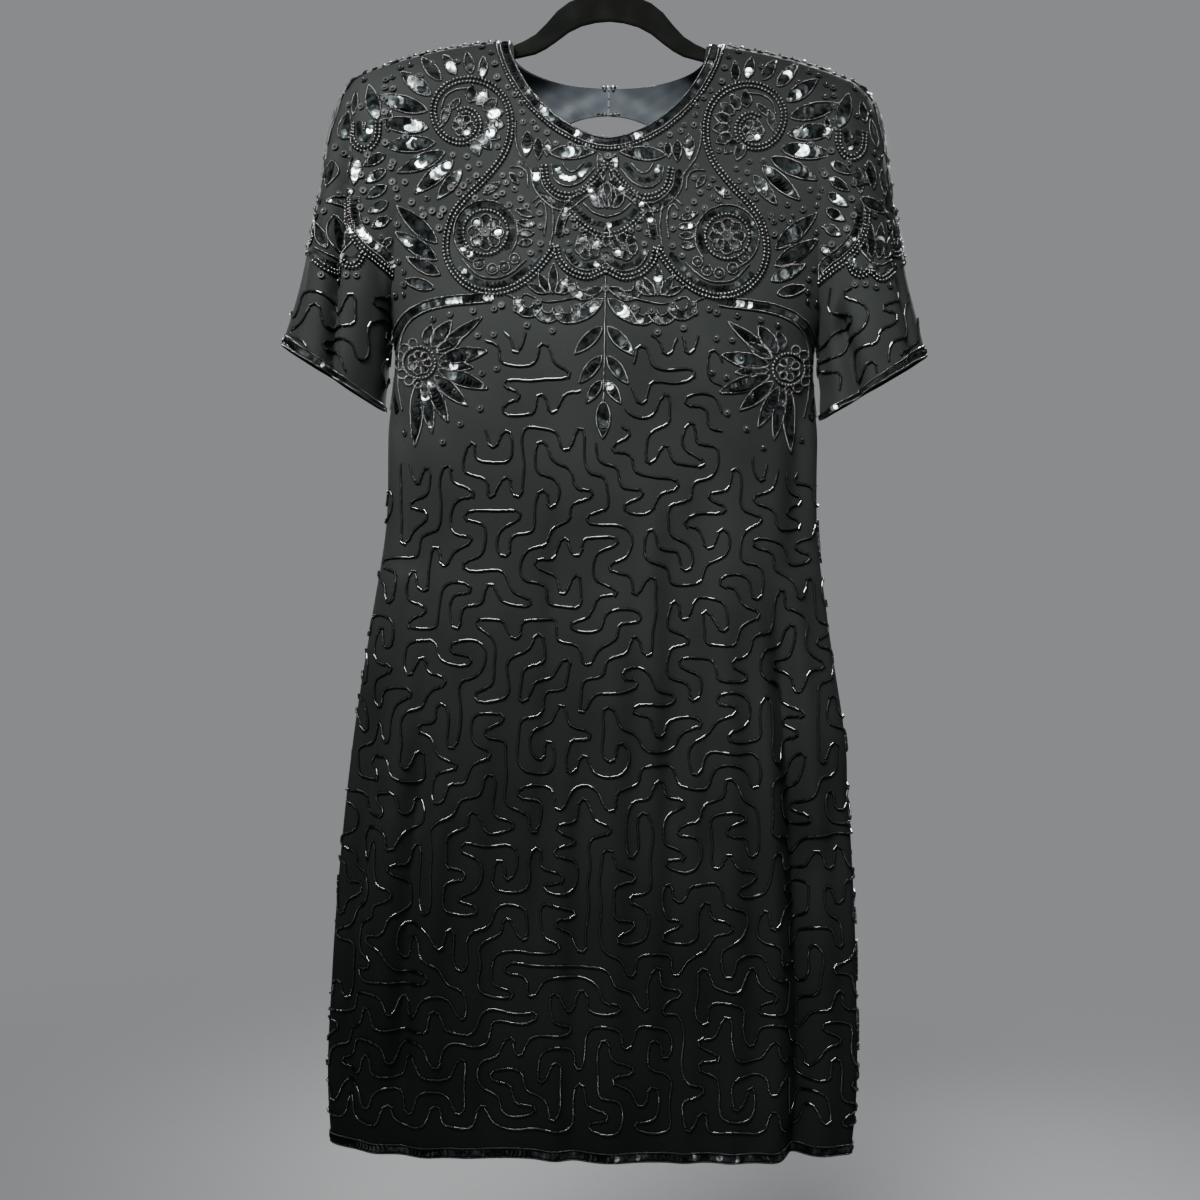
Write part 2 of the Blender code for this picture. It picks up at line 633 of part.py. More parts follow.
def main():
    for old in list(bpy.data.objects):
        bpy.data.objects.remove(old)
    crepe = cloth_material("black silk crepe", (0.018, 0.020, 0.020), 0.75)
    satin = cloth_material("slate satin", (0.10, 0.12, 0.14), 0.40)
    jet = cloth_material("jet glass", (0.010, 0.010, 0.010), 0.15)
    flock = cloth_material("black flock", (0.012, 0.012, 0.011), 0.95)
    chrome = cloth_material("chromed steel", (0.60, 0.60, 0.60), 0.20, 1.0)
    make_front(crepe)
    make_backs(crepe)
    make_sleeves(crepe)
    make_facings(satin)
    make_closures(jet, crepe)
    make_hanger(flock)
    make_hook(chrome)


main()
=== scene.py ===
"""Looks of a beaded cocktail dress on its hanger, in metres, +Z up, the front towards -Y.

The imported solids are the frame. The cloth is laid again as finer shells with their creases, and
bugles, seed beads and sequins are sewn on it, each as a small closed solid. A pattern is drawn in
millimetres on a flat plan, and its stitches are carried to the cloth one by one.
"""

import bpy
import numpy as np
from math import pi, radians
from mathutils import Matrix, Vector


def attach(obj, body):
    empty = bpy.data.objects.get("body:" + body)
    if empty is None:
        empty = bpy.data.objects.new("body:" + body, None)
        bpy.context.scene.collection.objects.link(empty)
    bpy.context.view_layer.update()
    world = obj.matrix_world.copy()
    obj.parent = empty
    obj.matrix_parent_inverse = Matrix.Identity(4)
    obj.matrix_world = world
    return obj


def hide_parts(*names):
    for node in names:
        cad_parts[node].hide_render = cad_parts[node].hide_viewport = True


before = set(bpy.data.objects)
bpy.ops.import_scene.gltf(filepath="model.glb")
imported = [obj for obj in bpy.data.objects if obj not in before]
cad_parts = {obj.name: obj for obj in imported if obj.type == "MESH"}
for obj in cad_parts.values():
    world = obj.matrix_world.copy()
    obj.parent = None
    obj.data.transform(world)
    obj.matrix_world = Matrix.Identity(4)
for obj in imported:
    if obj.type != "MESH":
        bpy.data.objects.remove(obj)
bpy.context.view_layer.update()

# ---------------------------------------------------------------- sizes, as the solids have them

HEM = -1.053
UNDERARM = -0.361
NECK_X = 0.084
SHOULDER_X = 0.1965
SHOULDER_Z = -0.1190
SHOULDER_FALL = 0.060
SHOULDER_BOW = 1.33
ROLL_NECK = 0.045
ROLL_SLEEVE = 0.058
OVAL = 2.2
NECK_DROP_FRONT = 0.091
NECK_DROP_BACK = 0.023
NECK_CURVE_FRONT = 1.72
NECK_CURVE_BACK = 2.0
BAND = 0.023
SLIT = 0.0015
KEYHOLE_X = 0.065
KEYHOLE_WIDEST = -0.215
KEYHOLE_FOOT = -0.355
SEAM_GAP = 0.00004        # the solids stand 0.3 mm apart; here the cloths all but touch
SOLID_ROWS = 16           # yoke rows of the solids; the keyhole and the neck band are laid on them
BAND_ROWS = 2

CLOTH = 0.0012            # crepe with its backing
FACING = 0.0005           # satin facing
FACING_DEPTH = 0.0023     # how far behind the cloth's face it lies
FACING_ROWS = 24          # yoke rows that it reaches down
SLEEVE_RADIUS = 0.055     # mean radius of a sleeve, for the width of its folds

# Finer grids than the solids', with the same shares of columns at the neck
COLUMNS = 60
SHARES = np.arange(COLUMNS + 1) / COLUMNS
NECK_COLUMNS = {True: 33, False: 27}
ROWS_SKIRT = 96
ROWS_YOKE = 64
BAND_START = ROWS_SKIRT + ROWS_YOKE * (SOLID_ROWS - BAND_ROWS) // SOLID_ROWS
# how far each row of a back keeps off the middle plane: half a seam gap, or half the slit in the band
BACK_GAP = np.where(np.arange(ROWS_SKIRT + ROWS_YOKE + 1) < BAND_START, SEAM_GAP / 2, SLIT / 2)

SIDES = (("left", 1), ("right", -1))
HALVES = ((True, "front"), (False, "back"))
DEGREE = pi / 180
MM = 0.001


def table(names, rows, units=1):
    """A table with named columns, kept as one array for each name."""
    return dict(zip(names.split(), (np.array(rows, float) * units).T))


SECTIONS = table("z half_width front_depth back_depth", [
    (HEM,      0.2203, 0.0400, 0.0380),
    (-1.0150,  0.2236, 0.0410, 0.0385),
    (-0.9130,  0.2223, 0.0430, 0.0395),
    (-0.8110,  0.2168, 0.0440, 0.0405),
    (-0.7090,  0.2074, 0.0450, 0.0420),
    (-0.6070,  0.1934, 0.0450, 0.0410),
    (-0.5300,  0.1828, 0.0460, 0.0400),
    (-0.4540,  0.1823, 0.0510, 0.0420),
    (UNDERARM, 0.1812, 0.0560, 0.0460),
    (-0.3400,  0.1905, 0.0560, 0.0475),
    (-0.3100,  0.2080, 0.0550, 0.0485),
    (-0.2500,  0.2500, 0.0510, 0.0490),
    (-0.2000,  0.2800, 0.0450, 0.0460),
    (-0.1460,  0.3000, 0.0390, 0.0400),
    (-0.1000,  0.3000, 0.0370, 0.0370),
])

ARMHOLE = table("share x", [
    (0.0, 0.1812), (0.2, 0.1765), (0.45, 0.1730), (0.7, 0.1790), (1.0, SHOULDER_X),
])

SLEEVE = table("share top_x top_z under_x under_z depth", [
    (0.00, SHOULDER_X, -0.1428, 0.1815, -0.3612, 0.047),
    (0.04, 0.2060, -0.1462, 0.1817, -0.3640, 0.047),
    (0.09, 0.2170, -0.1530, 0.1819, -0.3680, 0.047),
    (0.17, 0.2275, -0.1700, 0.1822, -0.3730, 0.046),
    (0.30, 0.2355, -0.2030, 0.1828, -0.3830, 0.046),
    (0.45, 0.2415, -0.2420, 0.1834, -0.3930, 0.045),
    (0.65, 0.2512, -0.2930, 0.1842, -0.4060, 0.044),
    (0.85, 0.2625, -0.3420, 0.1850, -0.4210, 0.043),
    (1.00, 0.2730, -0.3800, 0.1858, -0.4330, 0.042),
])

# A fold: the part that it is on (the front 1, the back 0; a sleeve's side), its place across at its
# top and at its foot, its width, how deep it goes in, and the heights of its top and its foot. On a
# body the place is a share of the way to the side seam, on a sleeve an angle and the height a share.
FOLD = "part first last width depth top foot"

BODY_FOLDS = table(FOLD, [
    (1,  0.70,  0.715, 0.011,  0.0150, -0.560, -1.053),
    (1,  0.90,  0.900, 0.016, -0.0060, -0.600, -1.053),
    (1,  0.50,  0.560, 0.030, -0.0040, -0.520, -1.053),
    (1, -0.84, -0.860, 0.012,  0.0100, -0.640, -1.000),
    (1, -0.62, -0.640, 0.010,  0.0080, -0.690, -0.980),
    (1, -0.71, -0.735, 0.014, -0.0050, -0.600, -1.053),
    (1, -0.53, -0.550, 0.016, -0.0045, -0.680, -1.053),
    (1,  0.30,  0.270, 0.016,  0.0035, -0.500, -0.760),
    (1, -0.20, -0.240, 0.030,  0.0035, -0.620, -1.053),
    (1,  0.06,  0.020, 0.028, -0.0030, -0.560, -1.053),
    (1,  0.86,  0.780, 0.014,  0.0050, -0.400, -0.560),
    (1, -0.88, -0.800, 0.014,  0.0050, -0.410, -0.560),
    (0,  0.66,  0.700, 0.013,  0.0100, -0.540, -1.053),
    (0,  0.84,  0.860, 0.016, -0.0050, -0.640, -1.053),
    (0,  0.36,  0.420, 0.022,  0.0060, -0.600, -1.000),
    (0, -0.56, -0.620, 0.014,  0.0090, -0.600, -1.053),
    (0, -0.78, -0.820, 0.014,  0.0060, -0.680, -1.053),
    (0, -0.30, -0.330, 0.024,  0.0050, -0.500, -0.940),
])

SLEEVE_FOLDS = table(FOLD, [
    (-1,   42.0,   96.0, 0.0075,  0.0140, 0.10, 1.00),
    (-1,   25.0,   62.0, 0.0140, -0.0040, 0.20, 1.00),
    (-1, -100.0,  -80.0, 0.0160,  0.0070, 0.25, 1.00),
    (1,   128.0,  118.0, 0.0100,  0.0120, 0.30, 1.00),
    (1,    30.0,   48.0, 0.0090,  0.0050, 0.35, 1.00),
    (1,  -112.0,  -96.0, 0.0150,  0.0080, 0.25, 1.00),
], (1, DEGREE, DEGREE, 1, 1, -1, -1))


def fine_folds(seed, count, is_front):
    """Soft upright ripples between the main folds, as the beads' weight pulls them: seeded rows
    of the same table, with depths from 2.2 to 4.8 mm inwards and outwards in turn."""
    draw = np.random.default_rng(seed)
    place = np.linspace(-0.92, 0.92, count) + draw.uniform(-0.03, 0.03, count)
    top = draw.uniform(-0.72, -0.40, count)
    turns = np.where(np.arange(count) % 2, -1, 1)
    return table(FOLD, np.transpose([
        np.full(count, is_front), place, place + draw.uniform(-0.03, 0.03, count), draw.uniform(0.009, 0.015, count),
        draw.uniform(0.0022, 0.0048, count) * turns, top, top - draw.uniform(0.25, 0.55, count)]))


RIPPLES = {True: fine_folds(5, 26, True), False: fine_folds(9, 24, False)}

# ---------------------------------------------------------------- the cloth's surface


def cubic(t, a, b, slope_a, slope_b):
    """A cubic piece from a to b with the given slopes at its ends; t goes from 0 to 1."""
    return ((1 + 2 * t) * (1 - t) ** 2 * a + t * (1 - t) ** 2 * slope_a
            + t ** 2 * (3 - 2 * t) * b + t ** 2 * (t - 1) * slope_b)


def along(rows, name, at):
    """A smooth curve through one column of a table: cubic pieces with the chords' slopes."""
    x, y = rows[next(iter(rows))], rows[name]
    slope = np.gradient(y, x)
    i = np.clip(np.searchsorted(x, at) - 1, 0, len(x) - 2)
    step = x[i + 1] - x[i]
    return cubic(np.clip((at - x[i]) / step, 0.0, 1.0), y[i], y[i + 1], step * slope[i], step * slope[i + 1])


def ease(t):
    """0 to 1 with soft ends."""
    t = np.clip(t, 0.0, 1.0)
    return t * t * (3 - 2 * t)


def unit(vectors):
    """The same directions, one long."""
    return vectors / np.maximum(np.linalg.norm(vectors, axis=-1, keepdims=True), 1e-12)


def pairs(x, z):
    """Points from their two coordinates."""
    return np.stack([x, z], -1)


def lengths(points):
    """The way along a row of points, from 0 at the first."""
    return np.concatenate([[0.0], np.cumsum(np.linalg.norm(np.diff(points, axis=0), axis=1))])


def half_girth(z):
    """The way round from the middle to the side seam, 1.09 of the half width."""
    return 1.09 * along(SECTIONS, "half_width", z)


def shoulder_height(x):
    """Height of the shoulder's line: a straight fall from the neck with a bow, by the square."""
    out = np.abs(x) - NECK_X
    return SHOULDER_Z - SHOULDER_FALL * out - SHOULDER_BOW * out * np.abs(out)


def roll_height(x):
    """Height over which the cloth rounds over the shoulder, taller towards the sleeve."""
    share = ease((np.abs(x) - NECK_X) / (SHOULDER_X - NECK_X))
    return ROLL_NECK + (ROLL_SLEEVE - ROLL_NECK) * share


def climb_at(x, z):
    """Height measured along the cloth: z itself up to the shoulder's roll, then along its arc."""
    roll = roll_height(x)
    start = shoulder_height(x) - roll
    return np.where(z > start, start + roll * np.arcsin(np.clip((z - start) / roll, 0.0, 1.0)), z)


def height_at(x, climb):
    """Height at a climb, and the angle round the roll's quarter circle, 0 below it."""
    roll = roll_height(x)
    start = shoulder_height(x) - roll
    angle = np.clip((climb - start) / roll, 0.0, pi / 2)
    return np.where(climb > start, start + roll * np.sin(angle), climb), angle


def turn_at(x, z):
    """Angle round the flat oval whose place is x: 0 at the centre, a quarter turn at the side."""
    share = np.clip(np.abs(x) / along(SECTIONS, "half_width", z), 0.0, 1.0)
    return np.sign(x) * np.arcsin(share ** (OVAL / 2))


def body_points(is_front, turn, climb):
    """Points of the body before its folds; turn is minus on the wearer's right.

    x is the half width times sin(turn) and y the depth times cos(turn), both to the power of the
    oval. Over the shoulder's roll z follows the sine of a quarter circle and y its cosine.
    """
    reach = np.sin(np.abs(turn)) ** (2 / OVAL)
    x = along(SECTIONS, "half_width", np.minimum(climb, SHOULDER_Z)) * reach
    for _ in range(5):
        z, angle = height_at(x, climb)
        x = along(SECTIONS, "half_width", z) * reach
    depth = along(SECTIONS, "front_depth" if is_front else "back_depth", z) * (-1.0 if is_front else 1.0)
    return np.stack([np.sign(turn) * x, depth * np.abs(np.cos(turn)) ** (2 / OVAL) * np.cos(angle), z], axis=-1)


def even_turns():
    """Turns that part the oval at the underarm into equal lengths."""
    turn = np.linspace(0.0, pi / 2, 400)
    length = lengths(body_points(True, turn, np.full_like(turn, UNDERARM)))
    return np.interp(np.linspace(0.0, length[-1], COLUMNS + 1), length, turn)


EVEN = even_turns()


def fold_depth(rows, part, place, length, height):
    """How far a part's folds push the cloth in: a bell across each fold, faded in and out along it."""
    depth = np.zeros_like(height)
    for k in np.flatnonzero(rows["part"] == part):
        first, last, width, deep, top, foot = (rows[name][k] for name in FOLD.split()[1:])
        way = (top - height) / (top - foot)
        bell = np.exp(-((place - first - (last - first) * np.clip(way, 0, 1)) * length / width) ** 2)
        depth += deep * bell * ease(way / 0.25) * (1 - ease((way - 1.0) / 0.12))
    return depth


def body_fold_depth(is_front, turn, z):
    """Main folds and ripples at a turn and a height, none on the side seams."""
    place = np.sign(turn) * np.interp(np.abs(turn), EVEN, SHARES)
    depth = sum(fold_depth(rows, is_front, place, half_girth(z), z) for rows in (BODY_FOLDS, RIPPLES[is_front]))
    return depth * (1 - ease((np.abs(place) - 0.93) / 0.07))


def cross_of_steps(surface, u, v, du, dv):
    """Unit normal of a surface of two parameters: the cross product of its central steps."""
    return unit(np.cross(surface(u + du, v) - surface(u - du, v),
                         surface(u, v + dv) - surface(u, v - dv)))


def body_face(is_front, turn, climb):
    """Outward unit normal of the body before its folds. It is taken a little off the middle and the
    side seams, where the oval has no slope."""
    turn = np.clip(np.where(np.abs(turn) < 0.012, 0.012, turn), -pi / 2 + 0.02, pi / 2 - 0.02)
    face = cross_of_steps(lambda u, v: body_points(is_front, u, v), turn, climb, 0.01, 0.0008)
    return face if is_front else -face


def body_cloth(is_front, turn, climb):
    """Points of the body's face with its folds."""
    points = body_points(is_front, turn, climb)
    return points - body_face(is_front, turn, climb) * body_fold_depth(is_front, turn, points[..., 2])[..., None]


def body_stitches(is_front, turn, climb):
    """Points and outward normals of the folded cloth, where beads are sewn."""
    inner = np.clip(turn, -pi / 2 + 0.03, pi / 2 - 0.03)
    face = cross_of_steps(lambda u, v: body_cloth(is_front, u, v), inner, climb, 0.008, 0.002)
    return body_cloth(is_front, turn, climb), face if is_front else -face


# ---------------------------------------------------------------- grids of the pieces


def seam_top(x):
    """Turn and climb of the shoulder seam at x."""
    return turn_at(x, shoulder_height(x)), shoulder_height(x) + roll_height(x) * (pi / 2 - 1)


def neckline(is_front, count):
    """Turn and climb along the neckline, from the centre to the shoulder seam."""
    power = 2 / (NECK_CURVE_FRONT if is_front else NECK_CURVE_BACK)
    drop = NECK_DROP_FRONT if is_front else NECK_DROP_BACK
    angle = np.linspace(0.0, pi / 2, count + 1)
    x = NECK_X * np.sin(angle) ** power
    z = SHOULDER_Z - drop * np.abs(np.cos(angle)) ** power
    z[-1] = shoulder_height(NECK_X)
    return turn_at(x, z), climb_at(x, z)


def yoke_rows():
    """Shares of the way up the yoke, closer at its foot and its top, by a cosine."""
    return (1 - np.cos(pi * np.arange(ROWS_YOKE + 1) / ROWS_YOKE)) / 2


def armhole(share):
    """Turn and climb up the armhole."""
    x = along(ARMHOLE, "x", share)
    climb = UNDERARM + (seam_top(SHOULDER_X)[1] - UNDERARM) * share
    return np.where(share <= 0, pi / 2, turn_at(x, height_at(x, climb)[0])), climb


def patch(left, right, foot, top):
    """Points between four edges: each row mixes the edges below and above it in the share that
    the right edge has reached, and is then moved to meet the left edge."""
    grids = []
    for a, b, c, d in zip(left, right, foot, top):
        share = (b - b[0]) / (b[-1] - b[0])
        mixed = np.outer(1 - share, c) + np.outer(share, d)
        grids.append(mixed + np.outer(a - mixed[:, 0], 1 - SHARES))
    return grids


def keyhole_edge():
    """Turn and climb of a back's inner edge above the underarm: seam, keyhole, neck band."""
    apex = SHOULDER_Z - NECK_DROP_BACK - BAND
    step = np.linspace(0, SOLID_ROWS, ROWS_YOKE + 1)
    head_step = SOLID_ROWS - BAND_ROWS
    angle = pi * np.clip((step - 1) / (head_step - 1), 0, 1)
    x = np.where((step <= 1) | (step >= head_step), 0.0, KEYHOLE_X * np.sin(angle))
    reach = np.where(angle < pi / 2, KEYHOLE_WIDEST - KEYHOLE_FOOT, apex - KEYHOLE_WIDEST)
    z = KEYHOLE_WIDEST - np.cos(angle) * reach
    z = np.where(step < 1, UNDERARM + (KEYHOLE_FOOT - UNDERARM) * step, z)
    z = np.where(step > head_step, apex + BAND * (step - head_step) / BAND_ROWS, z)
    return turn_at(x, z), climb_at(x, z)


def half_grid(is_front):
    """Turn and climb of every point of one half of the front, or of one back, from hem to top."""
    neck = neckline(is_front, NECK_COLUMNS[is_front])
    seam = seam_top(np.linspace(NECK_X, SHOULDER_X, COLUMNS - NECK_COLUMNS[is_front] + 1)[1:])
    top = [np.concatenate(both) for both in zip(neck, seam)]
    up = yoke_rows()
    left = (0 * up, UNDERARM + (neck[1][0] - UNDERARM) * up) if is_front else keyhole_edge()
    yoke_turn, yoke_climb = patch(left, armhole(up), (EVEN, np.full_like(EVEN, UNDERARM)), top)
    skirt_climb = np.linspace(HEM, UNDERARM, ROWS_SKIRT + 1)[:-1, None]
    turn = np.vstack([np.tile(EVEN, (ROWS_SKIRT, 1)), yoke_turn])
    return np.clip(turn, 0.0, pi / 2), np.vstack([np.repeat(skirt_climb, COLUMNS + 1, axis=1), yoke_climb])


def body_shell(is_front, side, offsets, bulge=None):
    """Grids of one half at depths behind its face. side is 1 on the wearer's left; seams are drawn
    back from the middle plane by half a seam gap."""
    turn, climb = half_grid(is_front)
    points = body_points(is_front, turn, climb)
    face = body_face(is_front, turn, climb)
    side_seam, shoulder_seam = np.s_[:ROWS_SKIRT + 1, -1, 1], np.s_[-1, NECK_COLUMNS[is_front]:, 1]
    face[side_seam] = face[shoulder_seam] = 0.0
    face[:, 0, 0] = 0.0
    folds = body_fold_depth(is_front, side * turn, points[..., 2]) + (bulge(points) if bulge else 0)
    grids = []
    for offset in offsets:
        grid = points - unit(face) * (folds + offset)[..., None]
        grid[side_seam] = grid[shoulder_seam] = (-1.0 if is_front else 1.0) * SEAM_GAP / 2
        if not is_front:
            grid[:, 0, 0] = np.maximum(grid[:, 0, 0], BACK_GAP)
        grids.append(grid * (side, 1, 1))
    return grids


def sleeve_points(angle, share):
    """Points of a sleeve before its folds, on the wearer's left.

    Each ring is an oval between the sleeve's upper and lower lines; the angle goes from the
    overarm forwards. The first ring is the armhole itself, a seam gap further out, and its shape
    fades into the ovals by the square of what is left of the sleeve's length.
    """
    seam = armhole((1 + np.cos(angle)) / 2)
    loop = np.where((np.sin(angle) >= 0)[..., None], body_points(True, *seam), body_points(False, *seam))
    loop[..., 0] += SEAM_GAP

    def oval(s):
        top = np.stack([along(SLEEVE, "top_x", s), 0 * s, along(SLEEVE, "top_z", s)], -1)
        under = np.stack([along(SLEEVE, "under_x", s), 0 * s, along(SLEEVE, "under_z", s)], -1)
        ring = (top + under) / 2 + np.cos(angle)[..., None] * (top - under) / 2
        ring[..., 1] -= np.sin(angle) * along(SLEEVE, "depth", s)
        return ring

    share = share * np.ones_like(angle)
    return oval(share) + ((1 - share) ** 2)[..., None] * (loop - oval(np.zeros_like(share)))


def sleeve_fold_depth(side, angle, share):
    """The sleeve's folds, with soft ripples of 0.8 mm that fade in below the armhole."""
    place = (angle + pi) % (2 * pi) - pi
    soft = 0.0008 * np.sin(5 * angle + 7 * share + side) * np.sin(3 * angle - 9 * share)
    return fold_depth(SLEEVE_FOLDS, side, place, SLEEVE_RADIUS, -share) + soft * ease((share - 0.1) / 0.3)


def sleeve_face(angle, share):
    """Outward unit normal of a sleeve before its folds."""
    return cross_of_steps(sleeve_points, angle, np.clip(share, 0.004, 1.0), 0.01, 0.004)


def sleeve_cloth(side, angle, share):
    """Points of a sleeve's face with its folds, on the wearer's left."""
    depth = sleeve_fold_depth(side, angle, share)
    return sleeve_points(angle, share) - sleeve_face(angle, share) * depth[..., None]


def sleeve_stitches(side, angle, share):
    """Points and outward normals of the folded sleeve on its own side."""
    mirror = np.array((side, 1, 1))
    face = cross_of_steps(lambda u, v: sleeve_cloth(side, u, v), angle, np.clip(share, 0.01, 0.99), 0.02, 0.008)
    return sleeve_cloth(side, angle, share) * mirror, face * mirror


def sleeve_shell(side, offsets, around=96, rows=64):
    """Rings of a sleeve at depths behind its face, closer near the armhole, whose ring stays outside
    the body."""
    angle, share = np.meshgrid(pi * (1 - 2 * np.arange(around) / around), np.linspace(0, 1, rows + 1) ** 1.25)
    face = sleeve_face(angle, share)
    outer = sleeve_points(angle, share) - face * sleeve_fold_depth(side, angle, share)[..., None]
    inward = -face
    inward[0, :, 0] = np.maximum(inward[0, :, 0], 0.0)
    return [(outer + unit(inward) * offset) * (side, 1, 1) for offset in offsets]


# ---------------------------------------------------------------- colours and materials

STUDIO_TONE, STUDIO_GLOW = "#c6c8ca", 0.46     # the light that fills the studio


def hex_colour(code):
    """A linear colour from sRGB hex."""
    values = np.array([int(code[i:i + 2], 16) for i in (1, 3, 5)]) / 255
    linear = np.where(values <= 0.04045, values / 12.92, ((values + 0.055) / 1.055) ** 2.4)
    return (*linear.tolist(), 1.0)


def add_node(material, kind, links=(), **settings):
    """Adds a node with its settings, and its links as {input name or number: output socket}."""
    node = material.node_tree.nodes.new(kind)
    for name, value in settings.items():
        if hasattr(node, name):
            setattr(node, name, value)
        else:
            node.inputs[name.replace("_", " ")].default_value = value
    for name, source in dict(links).items():
        material.node_tree.links.new(source, node.inputs[name])
    return node


def plain(name, **settings):
    """A material with values set on its shader's own sockets, its shader, and Object coordinates."""
    made = bpy.data.materials.new(name)
    made.use_nodes = True
    shader = made.node_tree.nodes["Principled BSDF"]
    for key, value in settings.items():
        shader.inputs[key.replace("_", " ")].default_value = value
    return made, shader, add_node(made, "ShaderNodeTexCoord").outputs["Object"]


def made_of(name, dark, light, cloud, stops, grain=None, **settings):
    """A material whose base colour lies between two tones, by a soft noise, with a grain as a bump.

    cloud is the noise's scale and detail, and stops are the tones' places on it. grain is the grain's
    scale on x, y and z in turns per metre, its detail, and the bump's strength and depth in metres.
    """
    made, shader, place = plain(name, **settings)
    soft = add_node(made, "ShaderNodeTexNoise", {"Vector": place}, Scale=cloud[0], Detail=cloud[1])
    tone = add_node(made, "ShaderNodeValToRGB", {"Fac": soft.outputs["Fac"]})
    for element, stop, colour in zip(tone.color_ramp.elements, stops, (dark, light)):
        element.position, element.color = stop, hex_colour(colour)
    made.node_tree.links.new(tone.outputs["Color"], shader.inputs["Base Color"])
    if grain:
        scale, detail, strength, depth = grain
        stretched = add_node(made, "ShaderNodeMapping", {"Vector": place}, Scale=scale)
        fine = add_node(made, "ShaderNodeTexNoise", {"Vector": stretched.outputs["Vector"]}, Scale=1.0, Detail=detail)
        bump = add_node(made, "ShaderNodeBump", {"Height": fine.outputs["Fac"]}, Strength=strength, Distance=depth)
        made.node_tree.links.new(bump.outputs["Normal"], shader.inputs["Normal"])
    return made


def chromed_wire():
    """Chromed steel wire, drawn: a bright mirror whose fine scratches run round it."""
    made, shader, place = plain("chromed steel wire, drawn", Base_Color=hex_colour("#c9cbcc"), Metallic=1.0,
                                Roughness=0.18)
    stretched = add_node(made, "ShaderNodeMapping", {"Vector": place}, Scale=(1500, 300, 1500))
    scratch = add_node(made, "ShaderNodeTexNoise", {"Vector": stretched.outputs["Vector"]}, Scale=1.0)
    level = add_node(made, "ShaderNodeMapRange", {"Value": scratch.outputs["Fac"]}, To_Min=0.12, To_Max=0.30)
    made.node_tree.links.new(level.outputs["Result"], shader.inputs["Roughness"])
    return made


def studio_paper():
    """Pale matt paper: it fades into the studio's own light from 0.4 to 2.4 m out, so it has no end."""
    made = made_of("pale paper, matt", "#b6b8b9", "#bdbfc0", (60.0, 4.0), (0.0, 1.0), Roughness=0.9)
    nodes = made.node_tree.nodes
    glow = add_node(made, "ShaderNodeEmission", Color=hex_colour(STUDIO_TONE), Strength=STUDIO_GLOW)
    place = nodes["Texture Coordinate"].outputs["Object"]
    out = add_node(made, "ShaderNodeVectorMath", {0: place}, operation="LENGTH")
    far = add_node(made, "ShaderNodeMapRange", {"Value": out.outputs["Value"]}, interpolation_type="SMOOTHSTEP",
                   From_Min=0.4, From_Max=2.4)
    both = add_node(made, "ShaderNodeMixShader", {"Fac": far.outputs["Result"], 2: glow.outputs["Emission"],
                                                  1: nodes["Principled BSDF"].outputs["BSDF"]})
    made.node_tree.links.new(both.outputs["Shader"], nodes["Material Output"].inputs["Surface"])
    return made


# Silk crepe of hard twisted yarn: a dull charcoal black with a fine pebbled face. The pebble is drawn
# at 1.1 mm, coarser than the real 0.4 mm, so that it shows.
CREPE = made_of("silk crepe, woven", "#0f1110", "#161817", (9.0, 3.0), (0.30, 0.72),
                ((900, 900, 620), 2.0, 0.35, 0.0003), Roughness=0.78, Sheen_Weight=0.02, Sheen_Roughness=0.45,
                Sheen_Tint=hex_colour("#a4a9a8"), Specular_IOR_Level=0.04)
# Acetate satin, the facing: slate grey with long floats that shine along the weave.
SATIN = made_of("acetate satin, woven", "#1e2225", "#2a2f33", (28.0, 2.0), (0.32, 0.70),
                ((3000, 3000, 240), 1.0, 0.2, 0.0002), Roughness=0.55, Sheen_Weight=0.05, Sheen_Roughness=0.3,
                Specular_IOR_Level=0.12)
# Black glass and plated film: a noise about as fine as a bead gives each its own tone. Glass shines in
# small points, plated film flashes as a mirror, and matt film only greys.
PER_BEAD = (180.0, 1.0), (0.38, 0.66)
BUGLE_GLASS = made_of("jet glass bugle, drawn and cut", "#040404", "#0a0b0b", *PER_BEAD, Roughness=0.16, IOR=1.60)
SEED_GLASS = made_of("jet glass seed bead, fire polished", "#050505", "#0c0d0d", *PER_BEAD, Roughness=0.20, IOR=1.60)
SEQUIN_FILM = made_of("sequin, stamped from black plated film", "#161919", "#414646", *PER_BEAD, Roughness=0.17,
                      Metallic=0.93)
DISC_FILM = made_of("paillette, stamped from matt black film", "#090a0a", "#141616", *PER_BEAD, Roughness=0.62,
                    Specular_IOR_Level=0.16)
# Nylon flock, blown on glue: a velvety black with a short nap and rubbed places.
FLOCK = made_of("nylon flock", "#070807", "#0e0f0d", (45.0, 4.0), (0.35, 0.72),
                ((2200, 2200, 2200), 1.0, 0.5, 0.0003), Roughness=0.95, Sheen_Weight=0.02, Sheen_Roughness=0.5,
                Sheen_Tint=hex_colour("#8d8f88"), Specular_IOR_Level=0.03)
CHROME = chromed_wire()

# ---------------------------------------------------------------- meshes


